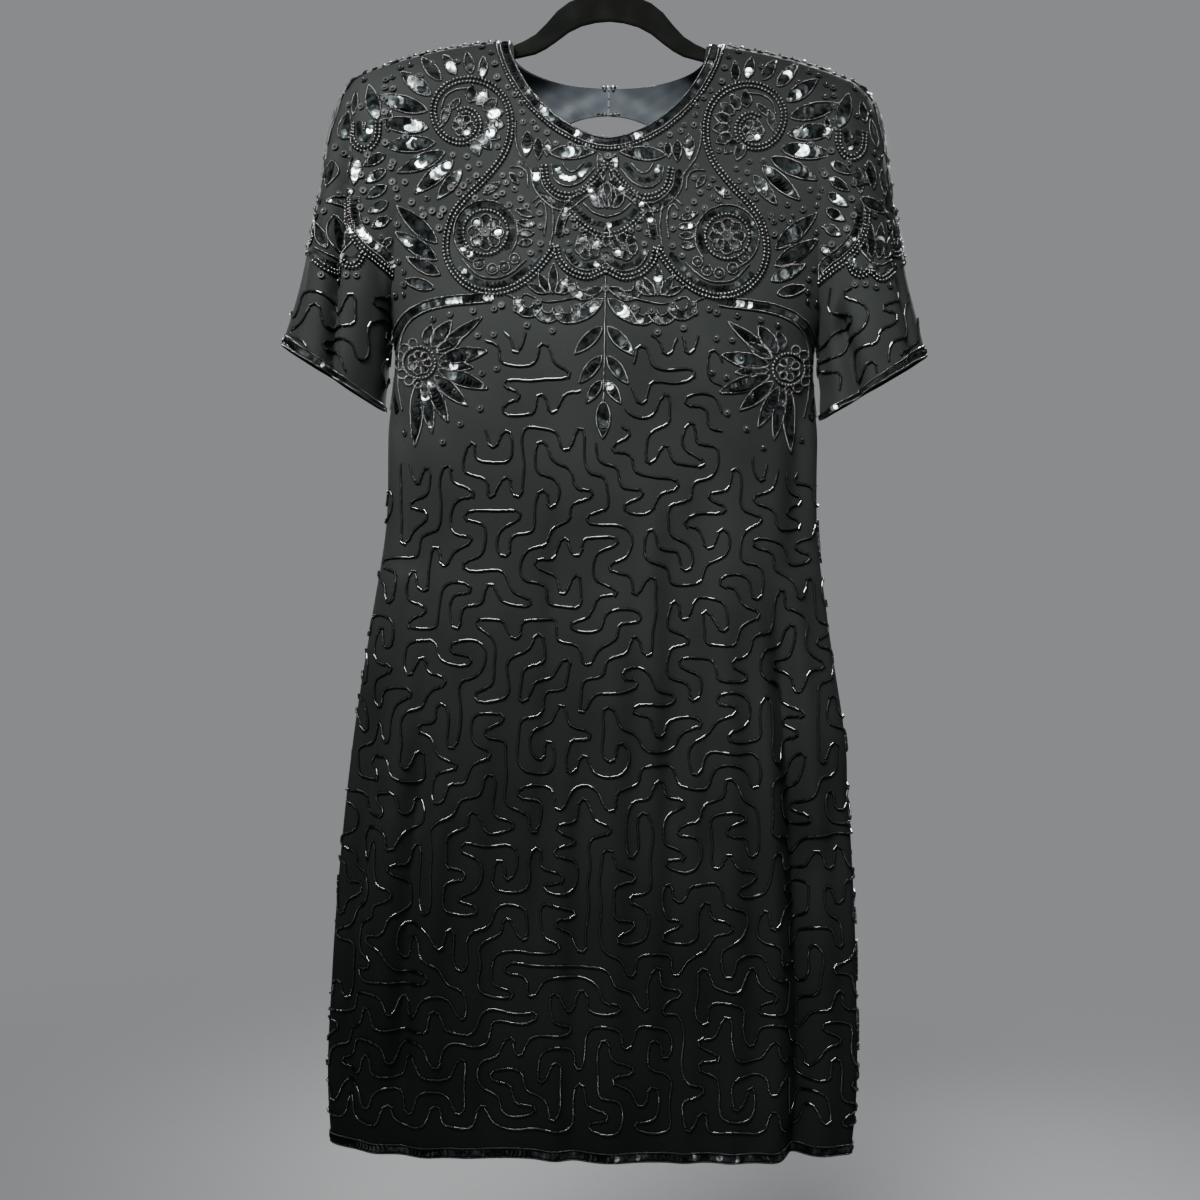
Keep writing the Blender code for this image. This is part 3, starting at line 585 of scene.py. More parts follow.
def add_piece(name, points, faces, material, smooth=True):
    """A closed mesh from arrays; it rides on the one body and takes its slot's finish."""
    mesh = bpy.data.meshes.new(name)
    mesh.vertices.add(len(points))
    mesh.vertices.foreach_set("co", np.asarray(points, dtype=np.float32).ravel())
    corners = faces.shape[1]
    mesh.loops.add(faces.size)
    mesh.loops.foreach_set("vertex_index", faces.astype(np.int32).ravel())
    mesh.polygons.add(len(faces))
    mesh.polygons.foreach_set("loop_start", np.arange(0, faces.size, corners, dtype=np.int32))
    mesh.update(calc_edges=True)
    mesh.polygons.foreach_set("use_smooth", np.full(len(faces), smooth))
    mesh.materials.append(material)
    made = bpy.data.objects.new(name, mesh)
    bpy.context.scene.collection.objects.link(made)
    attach(made, "root")
    return made


def stacked(*faces):
    """Faces as rows, from one array of point numbers for each corner."""
    return np.vstack([np.stack([np.ravel(corner) for corner in face], -1) for face in faces])


def wall(name, outer, inner, material, ring):
    """A closed shell between an outer and an inner grid, with a rim along every open edge."""
    rows, columns = outer.shape[:2]
    top = np.arange(rows * columns).reshape(rows, columns)
    if ring:
        top = np.hstack([top, top[:, :1]])
    back = top + rows * columns
    faces = [(top[:-1, :-1], top[:-1, 1:], top[1:, 1:], top[1:, :-1]),
             (back[:-1, :-1], back[1:, :-1], back[1:, 1:], back[:-1, 1:]),
             (top[0, 1:], top[0, :-1], back[0, :-1], back[0, 1:]),
             (top[-1, :-1], top[-1, 1:], back[-1, 1:], back[-1, :-1])]
    if not ring:
        faces += [(top[:-1, 0], top[1:, 0], back[1:, 0], back[:-1, 0]),
                  (top[1:, -1], top[:-1, -1], back[:-1, -1], back[1:, -1])]
    faces = stacked(*faces)
    points = np.vstack([outer.reshape(-1, 3), inner.reshape(-1, 3)])
    a, b, c, d = (points[faces[:, k]] for k in range(4))
    if (a * (np.cross(b, c) + np.cross(c, d))).sum() < 0:     # a volume below 0 is inside out
        faces = faces[:, ::-1]
    made = add_piece(name, points, faces, material)
    made.data.set_sharp_from_angle(angle=radians(50))
    return made


def lay(name, solid, outer, inner, flat, hanger="hanger", material=CREPE, slot="crepe", ring=False):
    """A cloth shell in place of its solid, which is hidden; its flat size is not used."""
    piece = wall(name, outer, inner, material, ring)
    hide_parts(solid)


def satin_crush(points):
    """Creases of the facing, up to 1.9 mm inwards: slanting waves 25 mm long that come and go,
    with small ones across them."""
    x, z = points[..., 0], points[..., 2]
    broad = np.sin(250 * x + 160 * z + 1.0) * np.sin(95 * x - 140 * z + 0.6)
    small = np.sin(520 * x - 330 * z) * np.sin(180 * x + 260 * z)
    return 0.00075 * (1 + broad) + 0.0002 * (1 + small)


def make_cloth():
    """The dress's panels and the back neck facing, each in place of its solid."""
    left, right = (body_shell(True, side, (0.0, CLOTH)) for side in (1, -1))
    lay("front_cloth", "front", *(np.hstack([b[:, :0:-1], a]) for a, b in zip(left, right)), (0.52, 0.95))
    for word, side in SIDES:
        lay("back_cloth_" + word, "back_" + word, *body_shell(False, side, (0.0, CLOTH)), (0.27, 0.96))
        satin = body_shell(False, side, (FACING_DEPTH, FACING_DEPTH + FACING), satin_crush)
        lay("neck_facing_satin_" + word, "neck_facing_" + word,
            *(grid[-(FACING_ROWS + 1):, :NECK_COLUMNS[False]] for grid in satin), (0.13, 0.085),
            "back_cloth_" + word, SATIN, "satin")
        lay("sleeve_cloth_" + word, "sleeve_" + word, *sleeve_shell(side, (0.0, CLOTH)), (0.40, 0.30), ring=True)


# ---------------------------------------------------------------- plan to cloth

EYE = np.array((0.0, -1.27, -0.59))   # the camera's place
PLAN_Y = -0.045                       # the plan of the front stands in this plane
PLAN_RADIUS, PLAN_DOWN = 0.054, 0.250     # a sleeve's plan: metres to a radian, and from end to end
TO_SEAM = 0.985                       # share of the way to a side seam that beads keep to


def chart(place, x_range, z_range, step=0.0022):
    """A plan laid on the cloth once, on a grid of small steps, and read between its grid points.

    Returns a function from plan points to cloth points and unit normals.
    """
    ranges = (x_range, z_range)
    counts = [int(round((high - low) / step)) + 1 for low, high in ranges]
    laid = np.concatenate(place(*np.meshgrid(*(np.linspace(*ends, n) for ends, n in zip(ranges, counts)))), axis=-1)

    def read(x, z):
        across, up = (np.clip((at - low) / (high - low), 0, 1) * (n - 1)
                      for at, (low, high), n in zip((x, z), ranges, counts))
        i, j = np.minimum(across.astype(int), counts[0] - 2), np.minimum(up.astype(int), counts[1] - 2)
        a, b = (across - i)[..., None], (up - j)[..., None]
        low = laid[j, i] * (1 - a) + laid[j, i + 1] * a
        high = laid[j + 1, i] * (1 - a) + laid[j + 1, i + 1] * a
        found = low * (1 - b) + high * b
        return found[..., :3], unit(found[..., 3:])
    return read


def on_body(is_front):
    """The plan whose points are the body's own x and z."""
    return lambda x, z: body_stitches(is_front, turn_at(x, z), climb_at(x, z))


def front_from_eye(x, z):
    """Where the line from the eye through a point of the plan meets the front."""
    there_x, there_z = x, z
    for _ in range(4):
        y = body_points(True, turn_at(there_x, there_z), climb_at(there_x, there_z))[..., 1]
        grow = (y - EYE[1]) / (PLAN_Y - EYE[1])
        there_x, there_z = x * grow, EYE[2] + (z - EYE[2]) * grow
    return on_body(True)(there_x, there_z)


def skirt_place(is_front):
    """Plan of the skirt: x is the way round from the middle, z the height."""
    def place(x, z):
        share = np.clip(x / half_girth(z), -TO_SEAM, TO_SEAM)
        return body_stitches(is_front, np.sign(share) * np.interp(np.abs(share), SHARES, EVEN), z)
    return place


def sleeve_place(side):
    """The sleeve's plan: x is the way round from the overarm line and z the way down from the armhole."""
    return lambda x, z: sleeve_stitches(side, x / PLAN_RADIUS, z / PLAN_DOWN)


def sleeve_from_face(x, z):
    """Angle and share of the point of the sleeve's front half that stands at x, z seen from the
    front: the nearest point of a coarse grid, then eight Newton steps."""
    def seen(angle, share):
        return sleeve_points(angle, share)[:, (0, 2)]

    def cross(a, b):
        return a[:, 0] * b[:, 1] - a[:, 1] * b[:, 0]

    around, down = (part.ravel() for part in np.meshgrid(np.linspace(0.06, pi - 0.06, 40), np.linspace(0, 1, 40)))
    spots = pairs(x.ravel(), z.ravel())
    nearest = ((spots[:, None] - seen(around, down)) ** 2).sum(-1).argmin(1)
    angle, share = around[nearest], down[nearest]
    for _ in range(8):
        miss = spots - seen(angle, share)
        inner = np.clip(share, 0.01, 0.99)
        turn = (seen(angle + 0.01, share) - seen(angle - 0.01, share)) / 0.02
        fall = (seen(angle, inner + 0.005) - seen(angle, inner - 0.005)) / 0.01
        whole = cross(turn, fall)
        whole = np.where(np.abs(whole) < 1e-5, 1e-5, whole)
        angle = np.clip(angle + np.clip(cross(miss, fall) / whole, -0.15, 0.15), 0.05, pi - 0.05)
        share = np.clip(share + np.clip(cross(turn, miss) / whole, -0.1, 0.1), 0, 1)
    return angle.reshape(x.shape), share.reshape(x.shape)


def sleeve_face_place(side, ahead):
    """The plan of a sleeve's front (ahead = 1) or back (-1): x and z as seen from the front."""
    def place(x, z):
        angle, share = sleeve_from_face(x, z)
        return sleeve_stitches(side, ahead * angle, share)
    return place


WIDE, YOKE_HIGH, AROUND = (-0.2145, 0.2145), (-0.490, -0.120), PLAN_RADIUS * pi
front_stitches = chart(front_from_eye, WIDE, YOKE_HIGH)
back_stitches = chart(on_body(False), WIDE, YOKE_HIGH)
skirt = {front: chart(skirt_place(front), (-0.250, 0.250), (HEM, -0.340), 0.0028) for front in (True, False)}
sleeve = {side: chart(sleeve_place(side), (-AROUND, AROUND), (0.0, PLAN_DOWN)) for side in (1, -1)}
sleeve_side = {(side, ahead): chart(sleeve_face_place(side, ahead), (0.170, 0.275), (-0.436, -0.140), 0.0025)
               for side in (1, -1) for ahead in (1, -1)}

# ---------------------------------------------------------------- beads


def barrel(sides, reach, radius):
    """A bead turned about the thread, of length 1: two rings at -reach and reach, and a point at each
    end. Returns its points and triangles."""
    angle = 2 * pi * np.arange(sides) / sides
    ring = np.stack([np.full(sides, reach), radius * np.cos(angle), radius * np.sin(angle)], -1)
    points = np.vstack([(-0.5, 0, 0), ring * (-1, 1, 1), ring, (0.5, 0, 0)])
    low = 1 + np.arange(sides)
    after = np.roll(low, -1)
    return points, stacked((0 * low, after, low), (low, after, after + sides), (low, after + sides, low + sides),
                           (low + sides, after + sides, 0 * low + 2 * sides + 1))


def cupped_disc(sides, cup, thick):
    """A sequin: a shallow cup of unit radius, its middle lower than its rim."""
    angle = 2 * pi * np.arange(sides) / sides
    rim = np.stack([np.cos(angle), np.sin(angle), np.zeros(sides)], -1)
    points = np.vstack([rim + (0, 0, thick), rim, (0, 0, thick - cup), (0, 0, -cup)])
    here = np.arange(sides)
    after, top = np.roll(here, -1), 0 * here + 2 * sides
    return points, stacked((here, after, top), (after + sides, here + sides, top + 1),
                           (here, here + sides, after + sides), (here, after + sides, after))


SEQUIN_R, DISC_R = 0.0027, 0.0028
BUGLE_LONG = 0.0050
BEAD_ON_DISC = 0.0026     # height of the seed bead that holds a disc
LEAF_PITCH = 0.0031       # from sequin to sequin down a leaf
NARROW = 0.0031           # from row to row of a double row that is set closer
LEAST_RUN = 6             # stitches in a row that are worth a thread
# kind: shape, size along the thread and across it, height above the cloth, roll that puts no face of it
# edge on, how far it is shaken by (yaw, lean, roll), and its finish
BEADS = {
    "seed": (barrel(6, 0.27, 0.84), 0.0026, 0.001675, 0.001139, 0.0, (0.05, 0.04, 0.06), SEED_GLASS),
    "fine": (barrel(5, 0.40, 0.88), 0.0017, 0.000975, 0.000663, pi / 10, (0.05, 0.04, 0.06), BUGLE_GLASS),
    "bugle": (barrel(5, 0.5, 1.0), BUGLE_LONG, 0.00100, 0.00095, pi / 10, (0.03, 0.04, 0.06), BUGLE_GLASS),
    "sequin": (cupped_disc(8, 0.03, 0.05), SEQUIN_R, SEQUIN_R, 0.0006, 0.0, (0.05, 0.07, 0.07), SEQUIN_FILM),
    "disc": (cupped_disc(8, 0.10, 0.16), DISC_R, DISC_R, 0.0013, 0.0, (0.03, 0.04, 0.06), DISC_FILM),
}
PITCH = {"seed": 0.00305, "fine": 0.0018, "sequin": 0.0036, "bugle": BUGLE_LONG + 0.0004}

sewn = {}


def add_beads(area, kind, points, face, ahead, size, lift=None, tilt=0.0):
    """Keeps beads for later: places, directions along the thread, outward faces, sizes, heights, leans."""
    face = unit(face)
    ahead = unit(ahead - face * np.einsum("ij,ij->i", ahead, face)[:, None])
    every = np.ones(len(points))
    height = BEADS[kind][3] if lift is None else lift
    sewn.setdefault((area, kind), []).append((points, ahead, face, size * every, height * every, tilt * every))


def long_runs(chosen):
    """Keeps only the runs of stitches that are long enough."""
    edge = np.flatnonzero(np.diff(np.concatenate([[0], chosen.astype(int), [0]])))
    kept = np.zeros(len(chosen), bool)
    for start, end in edge.reshape(-1, 2):
        kept[start:end] = end - start >= LEAST_RUN
    return kept


def sew(area, kind, place, path, pitch=None, size=1.0, closed=False, tilt=0.0, keep=None):
    """Sews beads along a path drawn in metres on a plan, at equal steps of the curve on the cloth."""
    length = lengths(place(*path.T)[0])
    count = max(int(round(length[-1] / (pitch or PITCH[kind]))), 1)
    at = np.arange(count) * length[-1] / count if closed else np.linspace(0, length[-1], count + 1)
    spots = pairs(*(np.interp(at, length, column) for column in path.T))
    points, face = place(*spots.T)
    ahead = np.roll(points, -1, axis=0) - np.roll(points, 1, axis=0)
    if len(points) < 3:
        ahead = np.tile((1.0, 0.0, 0.2), (len(points), 1))
    elif not closed:
        ahead[0], ahead[-1] = points[1] - points[0], points[-1] - points[-2]
    if keep:
        kept = long_runs(keep(spots))
        points, face, ahead = points[kept], face[kept], ahead[kept]
    add_beads(area, kind, points, face, ahead, size, tilt=tilt)


def turned(a, b, angle):
    """Two directions square to each other, turned from the first towards the second."""
    c, s = np.cos(angle)[:, None], np.sin(angle)[:, None]
    return a * c + b * s, b * c - a * s


def make_beads():
    """One mesh for each kind of bead on each piece of cloth; every bead is turned a little on its
    thread, as sewing leaves it, and a sequin leans along its row as it overlaps the next."""
    draw = np.random.default_rng(21)
    for (area, kind), rows in sorted(sewn.items()):
        points, ahead, face, size, lift, tilt = (np.concatenate(part) for part in zip(*rows))
        (shape, faces), long, across, _, upright, shake, finish = BEADS[kind]
        count, outward = len(points), face
        yaw, lean, roll = (draw.normal(0, far, count) for far in shake)
        lean, roll = lean + tilt, roll + upright
        if kind == "sequin":    # the cloth's small waves tip neighbours together
            x, z = points[:, 0], points[:, 2]
            lean += 0.17 * (np.sin(170 * x + 120 * z) + np.sin(90 * x - 210 * z + 1.0))
            roll += 0.17 * (np.sin(140 * x - 160 * z + 2.0) + np.sin(230 * x + 60 * z))
        ahead, beside = turned(ahead, np.cross(face, ahead), yaw)
        ahead, face = turned(ahead, face, lean)
        beside, face = turned(beside, face, roll)
        local = size[:, None, None] * shape * (long, across, across)
        centre = points + outward * (lift * size)[:, None]
        made = centre[:, None] + np.einsum("npk,nkj->npj", local, np.stack([ahead, beside, face], axis=1))
        every = (faces + len(shape) * np.arange(count)[:, None, None]).reshape(-1, 3)
        flat = kind in ("sequin", "disc")
        name = f"{kind}_{'row' if kind == 'sequin' else 'beads'}_{area}"
        piece = add_piece(name, made.reshape(-1, 3), every, finish, smooth=not flat)
        if kind == "bugle":     # round along, cut flat at its ends
            piece.data.set_sharp_from_angle(angle=radians(80))


# ---------------------------------------------------------------- drawing on the plan, in metres


def toward(angle):
    """One long, at an angle in degrees from +x."""
    return np.array((np.cos(angle * DEGREE), np.sin(angle * DEGREE)))


def arc(centre, radius, start, end):
    """Part of a circle, angles in degrees from +x."""
    return centre + radius * toward(np.linspace(start, end, 60)).T


def beside(path, distance):
    """The path moved to its left by a distance."""
    step = unit(np.gradient(path, axis=0))
    return path + pairs(-step[:, 1], step[:, 0]) * distance


def placed(path, at, angle):
    """A path turned by an angle in degrees, then moved."""
    (c, s), (x, z) = toward(angle), np.transpose(path)
    return at + pairs(c * x - s * z, s * x + c * z)


def petal(x, half):
    """The rim of a shape that is half wide to both sides at x, out and back."""
    return np.vstack([pairs(x, half), pairs(x, -half)[-2::-1]])


class Drawing:
    """Strands drawn on one half of a plan, later sewn on both sides of it. Places are written as
    "x,z x,z" in millimetres: on the body x goes to the wearer's right and z down."""

    def __init__(self, *motifs, unit=(-MM, -MM)):
        self.strands = []
        self.unit = np.array(unit)
        for motif in motifs:
            motif(self)

    def spots(self, text):
        """Places in metres."""
        return np.array([spot.split(",") for spot in text.split()], float) * self.unit

    def path(self, shape):
        """A ready path, or a smooth curve through a few places: cubic pieces whose slopes are half
        the chord between a place's neighbours."""
        if not isinstance(shape, str):
            return shape
        points = self.spots(shape)
        slope = np.gradient(points, axis=0)
        t = np.linspace(0, 1, 12, endpoint=False)[:, None]
        ends = zip(points[:-1], points[1:], slope[:-1], slope[1:])
        return np.vstack([*(cubic(t, *four) for four in ends), points[-1:]])

    def line(self, kind, shape, pitch=None, size=1.0, closed=False, tilt=0.0):
        """A strand of beads along a path."""
        self.strands.append((kind, self.path(shape), pitch, size, closed, tilt, None))

    def arc(self, kind, spot, radius, start, end, **how):
        """A strand round part of a circle, its radius in millimetres."""
        self.line(kind, arc(self.spots(spot)[0], radius * MM, start, end), **how)

    def double(self, shape, gap=0.0034):
        """Two rows of seed beads side by side."""
        for side in (1, -1):
            self.line("seed", beside(self.path(shape), side * gap / 2))

    def banded(self, shape, wide, size=1.0):
        """A row of leaning sequins between two rows of fine beads."""
        self.line("sequin", shape, tilt=0.25, size=size)
        for side in (1, -1):
            self.line("fine", beside(self.path(shape), side * wide * MM))

    def one(self, kind, spot, turn, size, tilt=0.0, lift=None):
        """A single bead, by a path of three close points."""
        step = 0.0004 * toward(turn)
        self.strands.append((kind, np.array([spot - step, spot, spot + step]), None, size, None, tilt, lift))

    def dot(self, spot, size):
        """A matt disc held by a seed bead."""
        self.one("disc", spot, 20, size)
        self.one("seed", spot, 0, 0.85, lift=BEAD_ON_DISC)

    def dots(self, text, size=1.0):
        """A disc at every place."""
        for spot in self.spots(text):
            self.dot(spot, size)

    def leaf(self, foot, tip, width):
        """A pointed leaf: an outline of fine beads, whose half width goes by a sine to the tip, and
        sequins down its middle, as large as it is wide."""
        def half(t):
            return width / 2 * np.sin(pi * t ** 0.85) ** 0.8

        length, turn = np.hypot(*(tip - foot)), np.arctan2(*(tip - foot)[::-1]) / DEGREE
        t = np.linspace(0, 1, 40)
        self.line("fine", placed(petal(t * length, half(t)), foot, turn), closed=True)
        count = max(int(length / LEAF_PITCH), 2)
        for s in (np.arange(count) + 0.8) / (count + 0.6):
            spot = placed([(s * length, 0.0)], foot, turn)[0]
            self.one("sequin", spot, turn, max(half(s) * 0.86 / SEQUIN_R, 0.42), 0.18)

    def leaves(self, text):
        """Leaves from rows of foot x, foot z, tip x, tip z, width in millimetres."""
        for row in text.split():
            *ends, width = map(float, row.split(","))
            self.leaf(*(np.reshape(ends, (2, 2)) * self.unit), width * MM)

    def flower(self, spot, radius, petals, start=0.0):
        """Petals as loops of fine beads with a sequin in each, round a disc."""
        centre, radius = self.spots(spot)[0], radius * MM
        wide = radius * np.sin(pi / petals) * 0.85
        t = np.linspace(0, 1, 24)
        rim = petal(radius * (0.28 + 0.72 * t), wide * np.sin(pi * t ** 1.2) ** 0.7)
        for turn in start + 360 * np.arange(petals) / petals:
            self.line("fine", placed(rim, centre, turn), closed=True)
            middle = placed([(radius * 0.68, 0.0)], centre, turn)[0]
            self.one("sequin", middle, turn, max(wide * 0.62 / SEQUIN_R, 0.40), 0.1)
        self.dot(centre, radius * 0.26 / SEQUIN_R)

    def sewn_on(self, area, place, sides=(1, -1)):
        """Sews every strand, as drawn (1) and mirrored (-1)."""
        for side in sides:
            for kind, path, pitch, size, closed, tilt, lift in self.strands:
                path = path * (side, 1)
                if closed is None:
                    points, face = place(*path.T)
                    add_beads(area, kind, points[1:2], face[1:2], points[2:] - points[:1], size, lift, tilt)
                else:
                    path = np.vstack([path, path[:1]]) if closed else path
                    sew(area, kind, place, path, pitch, size, closed, tilt)


def volute_and_drop(plan):
    """The main scroll in two rows of seed beads: a drop, its neck and the volute at the shoulder."""
    plan.double("42,300 49,311 60,324 74,334 90,339 106,337 119,329 128,317 131.5,303 130,288 125,274 116,262 "
                "106,252 96,241 87,229 81.5,216 80,202 82,188 88,177 98,169 112,165 126,167 137,174 143,185 "
                "143,197 138,208 129,215 118,216.5 109,211 106,202 109,194 116,190 123,192", gap=0.0035)
    volute = plan.spots("115,199")[0]
    for angle in (-72, -50, -28, -6, 16, 38, 60, 84):
        away = toward(angle)
        plan.leaf(volute + 0.0155 * away, volute + 0.0295 * away, 0.0090)
    plan.line("fine", "137,188 134,179 126,173.5 116,172")
    plan.flower("119,203", 9.0, 6)
    plan.leaves("131,186,137,204,6.5 122,181,131,190,5")
    plan.arc("sequin", "99,290", 22.2, -35, 262, tilt=0.25)
    plan.arc("fine", "99,290", 26.2, -40, 262)
    plan.arc("seed", "99,290", 18.2, 0, 354)
    plan.flower("99,290", 15.0, 8)
    plan.line("sequin", "119,320 106,330 90,332.5 76,328 63,317 54,306", tilt=0.25, size=0.95)
    plan.line("fine", "117,313 105,325 90,327.5 78,323 66,312.5")
    for spot, radius in (("113,307", 4.2), ("104,316", 4.5), ("93,320", 4.2), ("83,318", 4.2), ("75,311", 4.0)):
        plan.arc("fine", spot, radius, 0, 340, closed=True)
        plan.dots(spot, size=0.85)
    plan.leaves("60,276,75,271,5.5 59,283,74,281,5.5 60,290,73,290,5.5 61,297,72,299,5.5")
    plan.line("fine", "61,264 54,259 47,263 44,275 44,288 46,299")
    plan.line("fine", "58,268 55,264 51,267 49.5,277 51,291")
    plan.dots("54,284 54,298 62,306 66,268 98,254 108,262 91,260 80,267 71,262 83,249 76,254", size=0.95)
    plan.leaves("101,258,88,249,6 80,241,73,250,5")


def neck_scrolls(plan):
    """The two crescents below the neck band, and the leaves beside them."""
    plan.double("52,235 50,247 44,255 35,258.5 27,258 18,253 8,242 1.5,232")
    plan.banded("59,238 57,250 50,260 40,266.5 31,267", wide=3.6)
    plan.line("fine", "46,234 44,244 37,250 29,250.5 20,246 11,236")
    plan.line("sequin", "42,234 38,242 30,245 22,241 15,233", size=0.85, tilt=0.2)
    plan.line("fine", "37,232 33,237.5 27,238.5 20,232")
    plan.leaves("47,224,10,222,11 7,224,3,246,6 66,207,67,227,8.5 57,212,57,229,7.5 49,214,50,226,6")
    plan.line("fine", "76,198 76,212 72,226 63,239 61,242")
    plan.line("fine", "79,236 72,236 66,241 65,251")
    plan.dots("43,216 59,204 70,199 71,242 72,233 31,216.5 18,219 86,243", size=0.9)


def heart(plan):
    """Half of the heart in the middle: its outline, a fan above and a flower below."""
    plan.banded("3,245 12,252 23,260 32,269 37,280 39,291", wide=3.2, size=0.85)
    plan.double("41,301 38,312 29,321 15,325 1.5,319.5")
    plan.double("31,271 22,281 11,288.5 1.2,291", gap=NARROW)
    plan.line("sequin", "25,268 15,278 1.8,282.5", tilt=0.2, size=0.9)
    plan.line("fine", "19,265 11,272 1,275.5")
    plan.leaves("6,268,14,256,6.5 3.5,268,5,252,6.5")
    plan.flower("15,300", 11.0, 6, 15)
    plan.arc("sequin", "15,300", 16.0, 195, 335, size=0.95, tilt=0.2)
    plan.arc("fine", "15,300", 19.8, 190, 340)
    plan.dots("26,284 33,288 20,286.5 31,297 4,298 4,311 28,277", size=0.9)


def scallops(plan):
    """Rounded rows of sequins that end the yoke, and the leaves and loops above them."""
    plan.leaves("43,339,43,314,7.5 46,339,55,323,7 40,339,31,325,7 49,339,64,332,5.5 37,339,25,331,5.5")
    for spot, radius, start, end in (("63,347", 8.5, 165, 345), ("47,351", 8.5, 190, 350), ("31,352", 8.0, 195, 345),
                                     ("17,347", 8.0, 195, 350), ("18,331", 9.5, 175, 320)):
        plan.arc("sequin", spot, radius, start, end, pitch=0.0038, tilt=0.2, size=1.05)
        plan.arc("fine", spot, radius + 3.4, start, end)
        plan.arc("fine", spot, radius - 4.2, start, end)
    plan.line("fine", "80,341 71,344 66,340 57,343 48,346 38,345 28,343 20,341")
    plan.dots("85,349 64,365 43,369 55,346 38,352 24,349 73,352", size=1.05)


def leaf_spray(plan):
    """Half of the spray that hangs from the middle of the yoke: leaf pairs along a stem."""
    plan.leaves("3,334,17,340,6.5 2.5,343,27,363,10.5 2.5,366,24,388,10 2.5,390,20,412,9.5 2,410,14,428,8")


def shoulder_leaves(plan):
    """Leaves that spread from the volute to the armhole, and the sequins between them."""
    plan.leaves("113,160,117,143,8 126,161,136,145,8.5 138,166,154,148,9.5 146,178,171,160,11.5 "
                "149,191,190,180,13 148,205,189,201,13 142,217,184,221,13 134,225,172,242,12.5 "
                "127,232,158,259,12 120,240,139,263,10 104,163,103,146,7 139,299,172,270,12.5 "
                "139,313,173,291,12.5 136,325,163,312,10 141,336,165,330,9")
    plan.dots("192,156 171,157 183,167 184,193 128,254 143,273 134,272 118,252 94,152 92,163 155,163 176,234 "
              "160,266 150,277 137,287 176,250 125,151 105,139 145,153 166,213 177,174 176,281", size=1.1)


def armhole_band(plan):
    """The curved band from the foot of the drop to the side, and down beside the rosette."""
    plan.banded("94,343 112,345 130,347 146,351 159,358 167,368 171,382 172,400 172,420 171,436",
                wide=3.9, size=1.1)
    plan.dots("108,354 127,357 91,352 141,361 165,333 172,342", size=1.05)


def side_rosette(plan):
    """The rosette below the armhole, with its spread of leaves."""
    centre = plan.spots("151,398")[0]
    plan.flower("151,398", 10.0, 7)
    plan.arc("seed", "151,398", 13.0, 0, 348, closed=True)
    for angle in range(110, 290, 26):
        plan.line("fine", arc(centre + 0.0170 * toward(angle), 0.0036, 0, 340), closed=True)
    tips = plan.spots("126,363 101,360 117,377 96,387 108,401 95,418 112,432 127,446 140,455 155,466 142,367")
    for tip, width in zip(tips, (12, 9, 9, 12, 9, 12, 11, 10, 10, 12, 9)):
        plan.leaf(centre + 0.0165 * unit(tip - centre), tip, width * MM)
    plan.dots("91,373 88,401 101,434 117,447 131,462 104,374 165,455 112,390 100,405 122,420 146,425", size=1.0)


def fill_ground(plan, inside, seed, pitch=0.0072, clear=0.0050):
    """Single discs on the bare ground between the motifs: the spots of a shaken grid that lie
    inside, and clear of every strand and of each other."""
    draw = np.random.default_rng(seed)
    x, z = np.meshgrid(np.arange(-0.200, -0.002, pitch), np.arange(-0.365, -0.135, pitch))
    spots = pairs(x.ravel(), z.ravel()) + draw.uniform(-0.3, 0.3, (x.size, 2)) * pitch
    taken = np.vstack([strand[1] for strand in plan.strands])
    near = np.array([np.hypot(*(taken - spot).T).min() for spot in spots])
    kept = []
    for spot in spots[(near > clear) & inside(spots)]:
        if all(np.hypot(*(spot - other)) > 1.5 * clear for other in kept):
            kept.append(spot)
            plan.dot(spot, draw.uniform(0.75, 1.0))


def edge_band(area, place, path, away, closed=False):
    """A finished edge: a row of fine beads, overlapping sequins, and a second row. away is the
    band's width on the plan."""
    for share, kind, tilt in ((0.10, "fine", 0.0), (0.5, "sequin", 0.28), (0.92, "fine", 0.0)):
        sew(area, kind, place, path + (0.0, away * share), closed=closed, tilt=tilt)


# ---------------------------------------------------------------- vermicelli


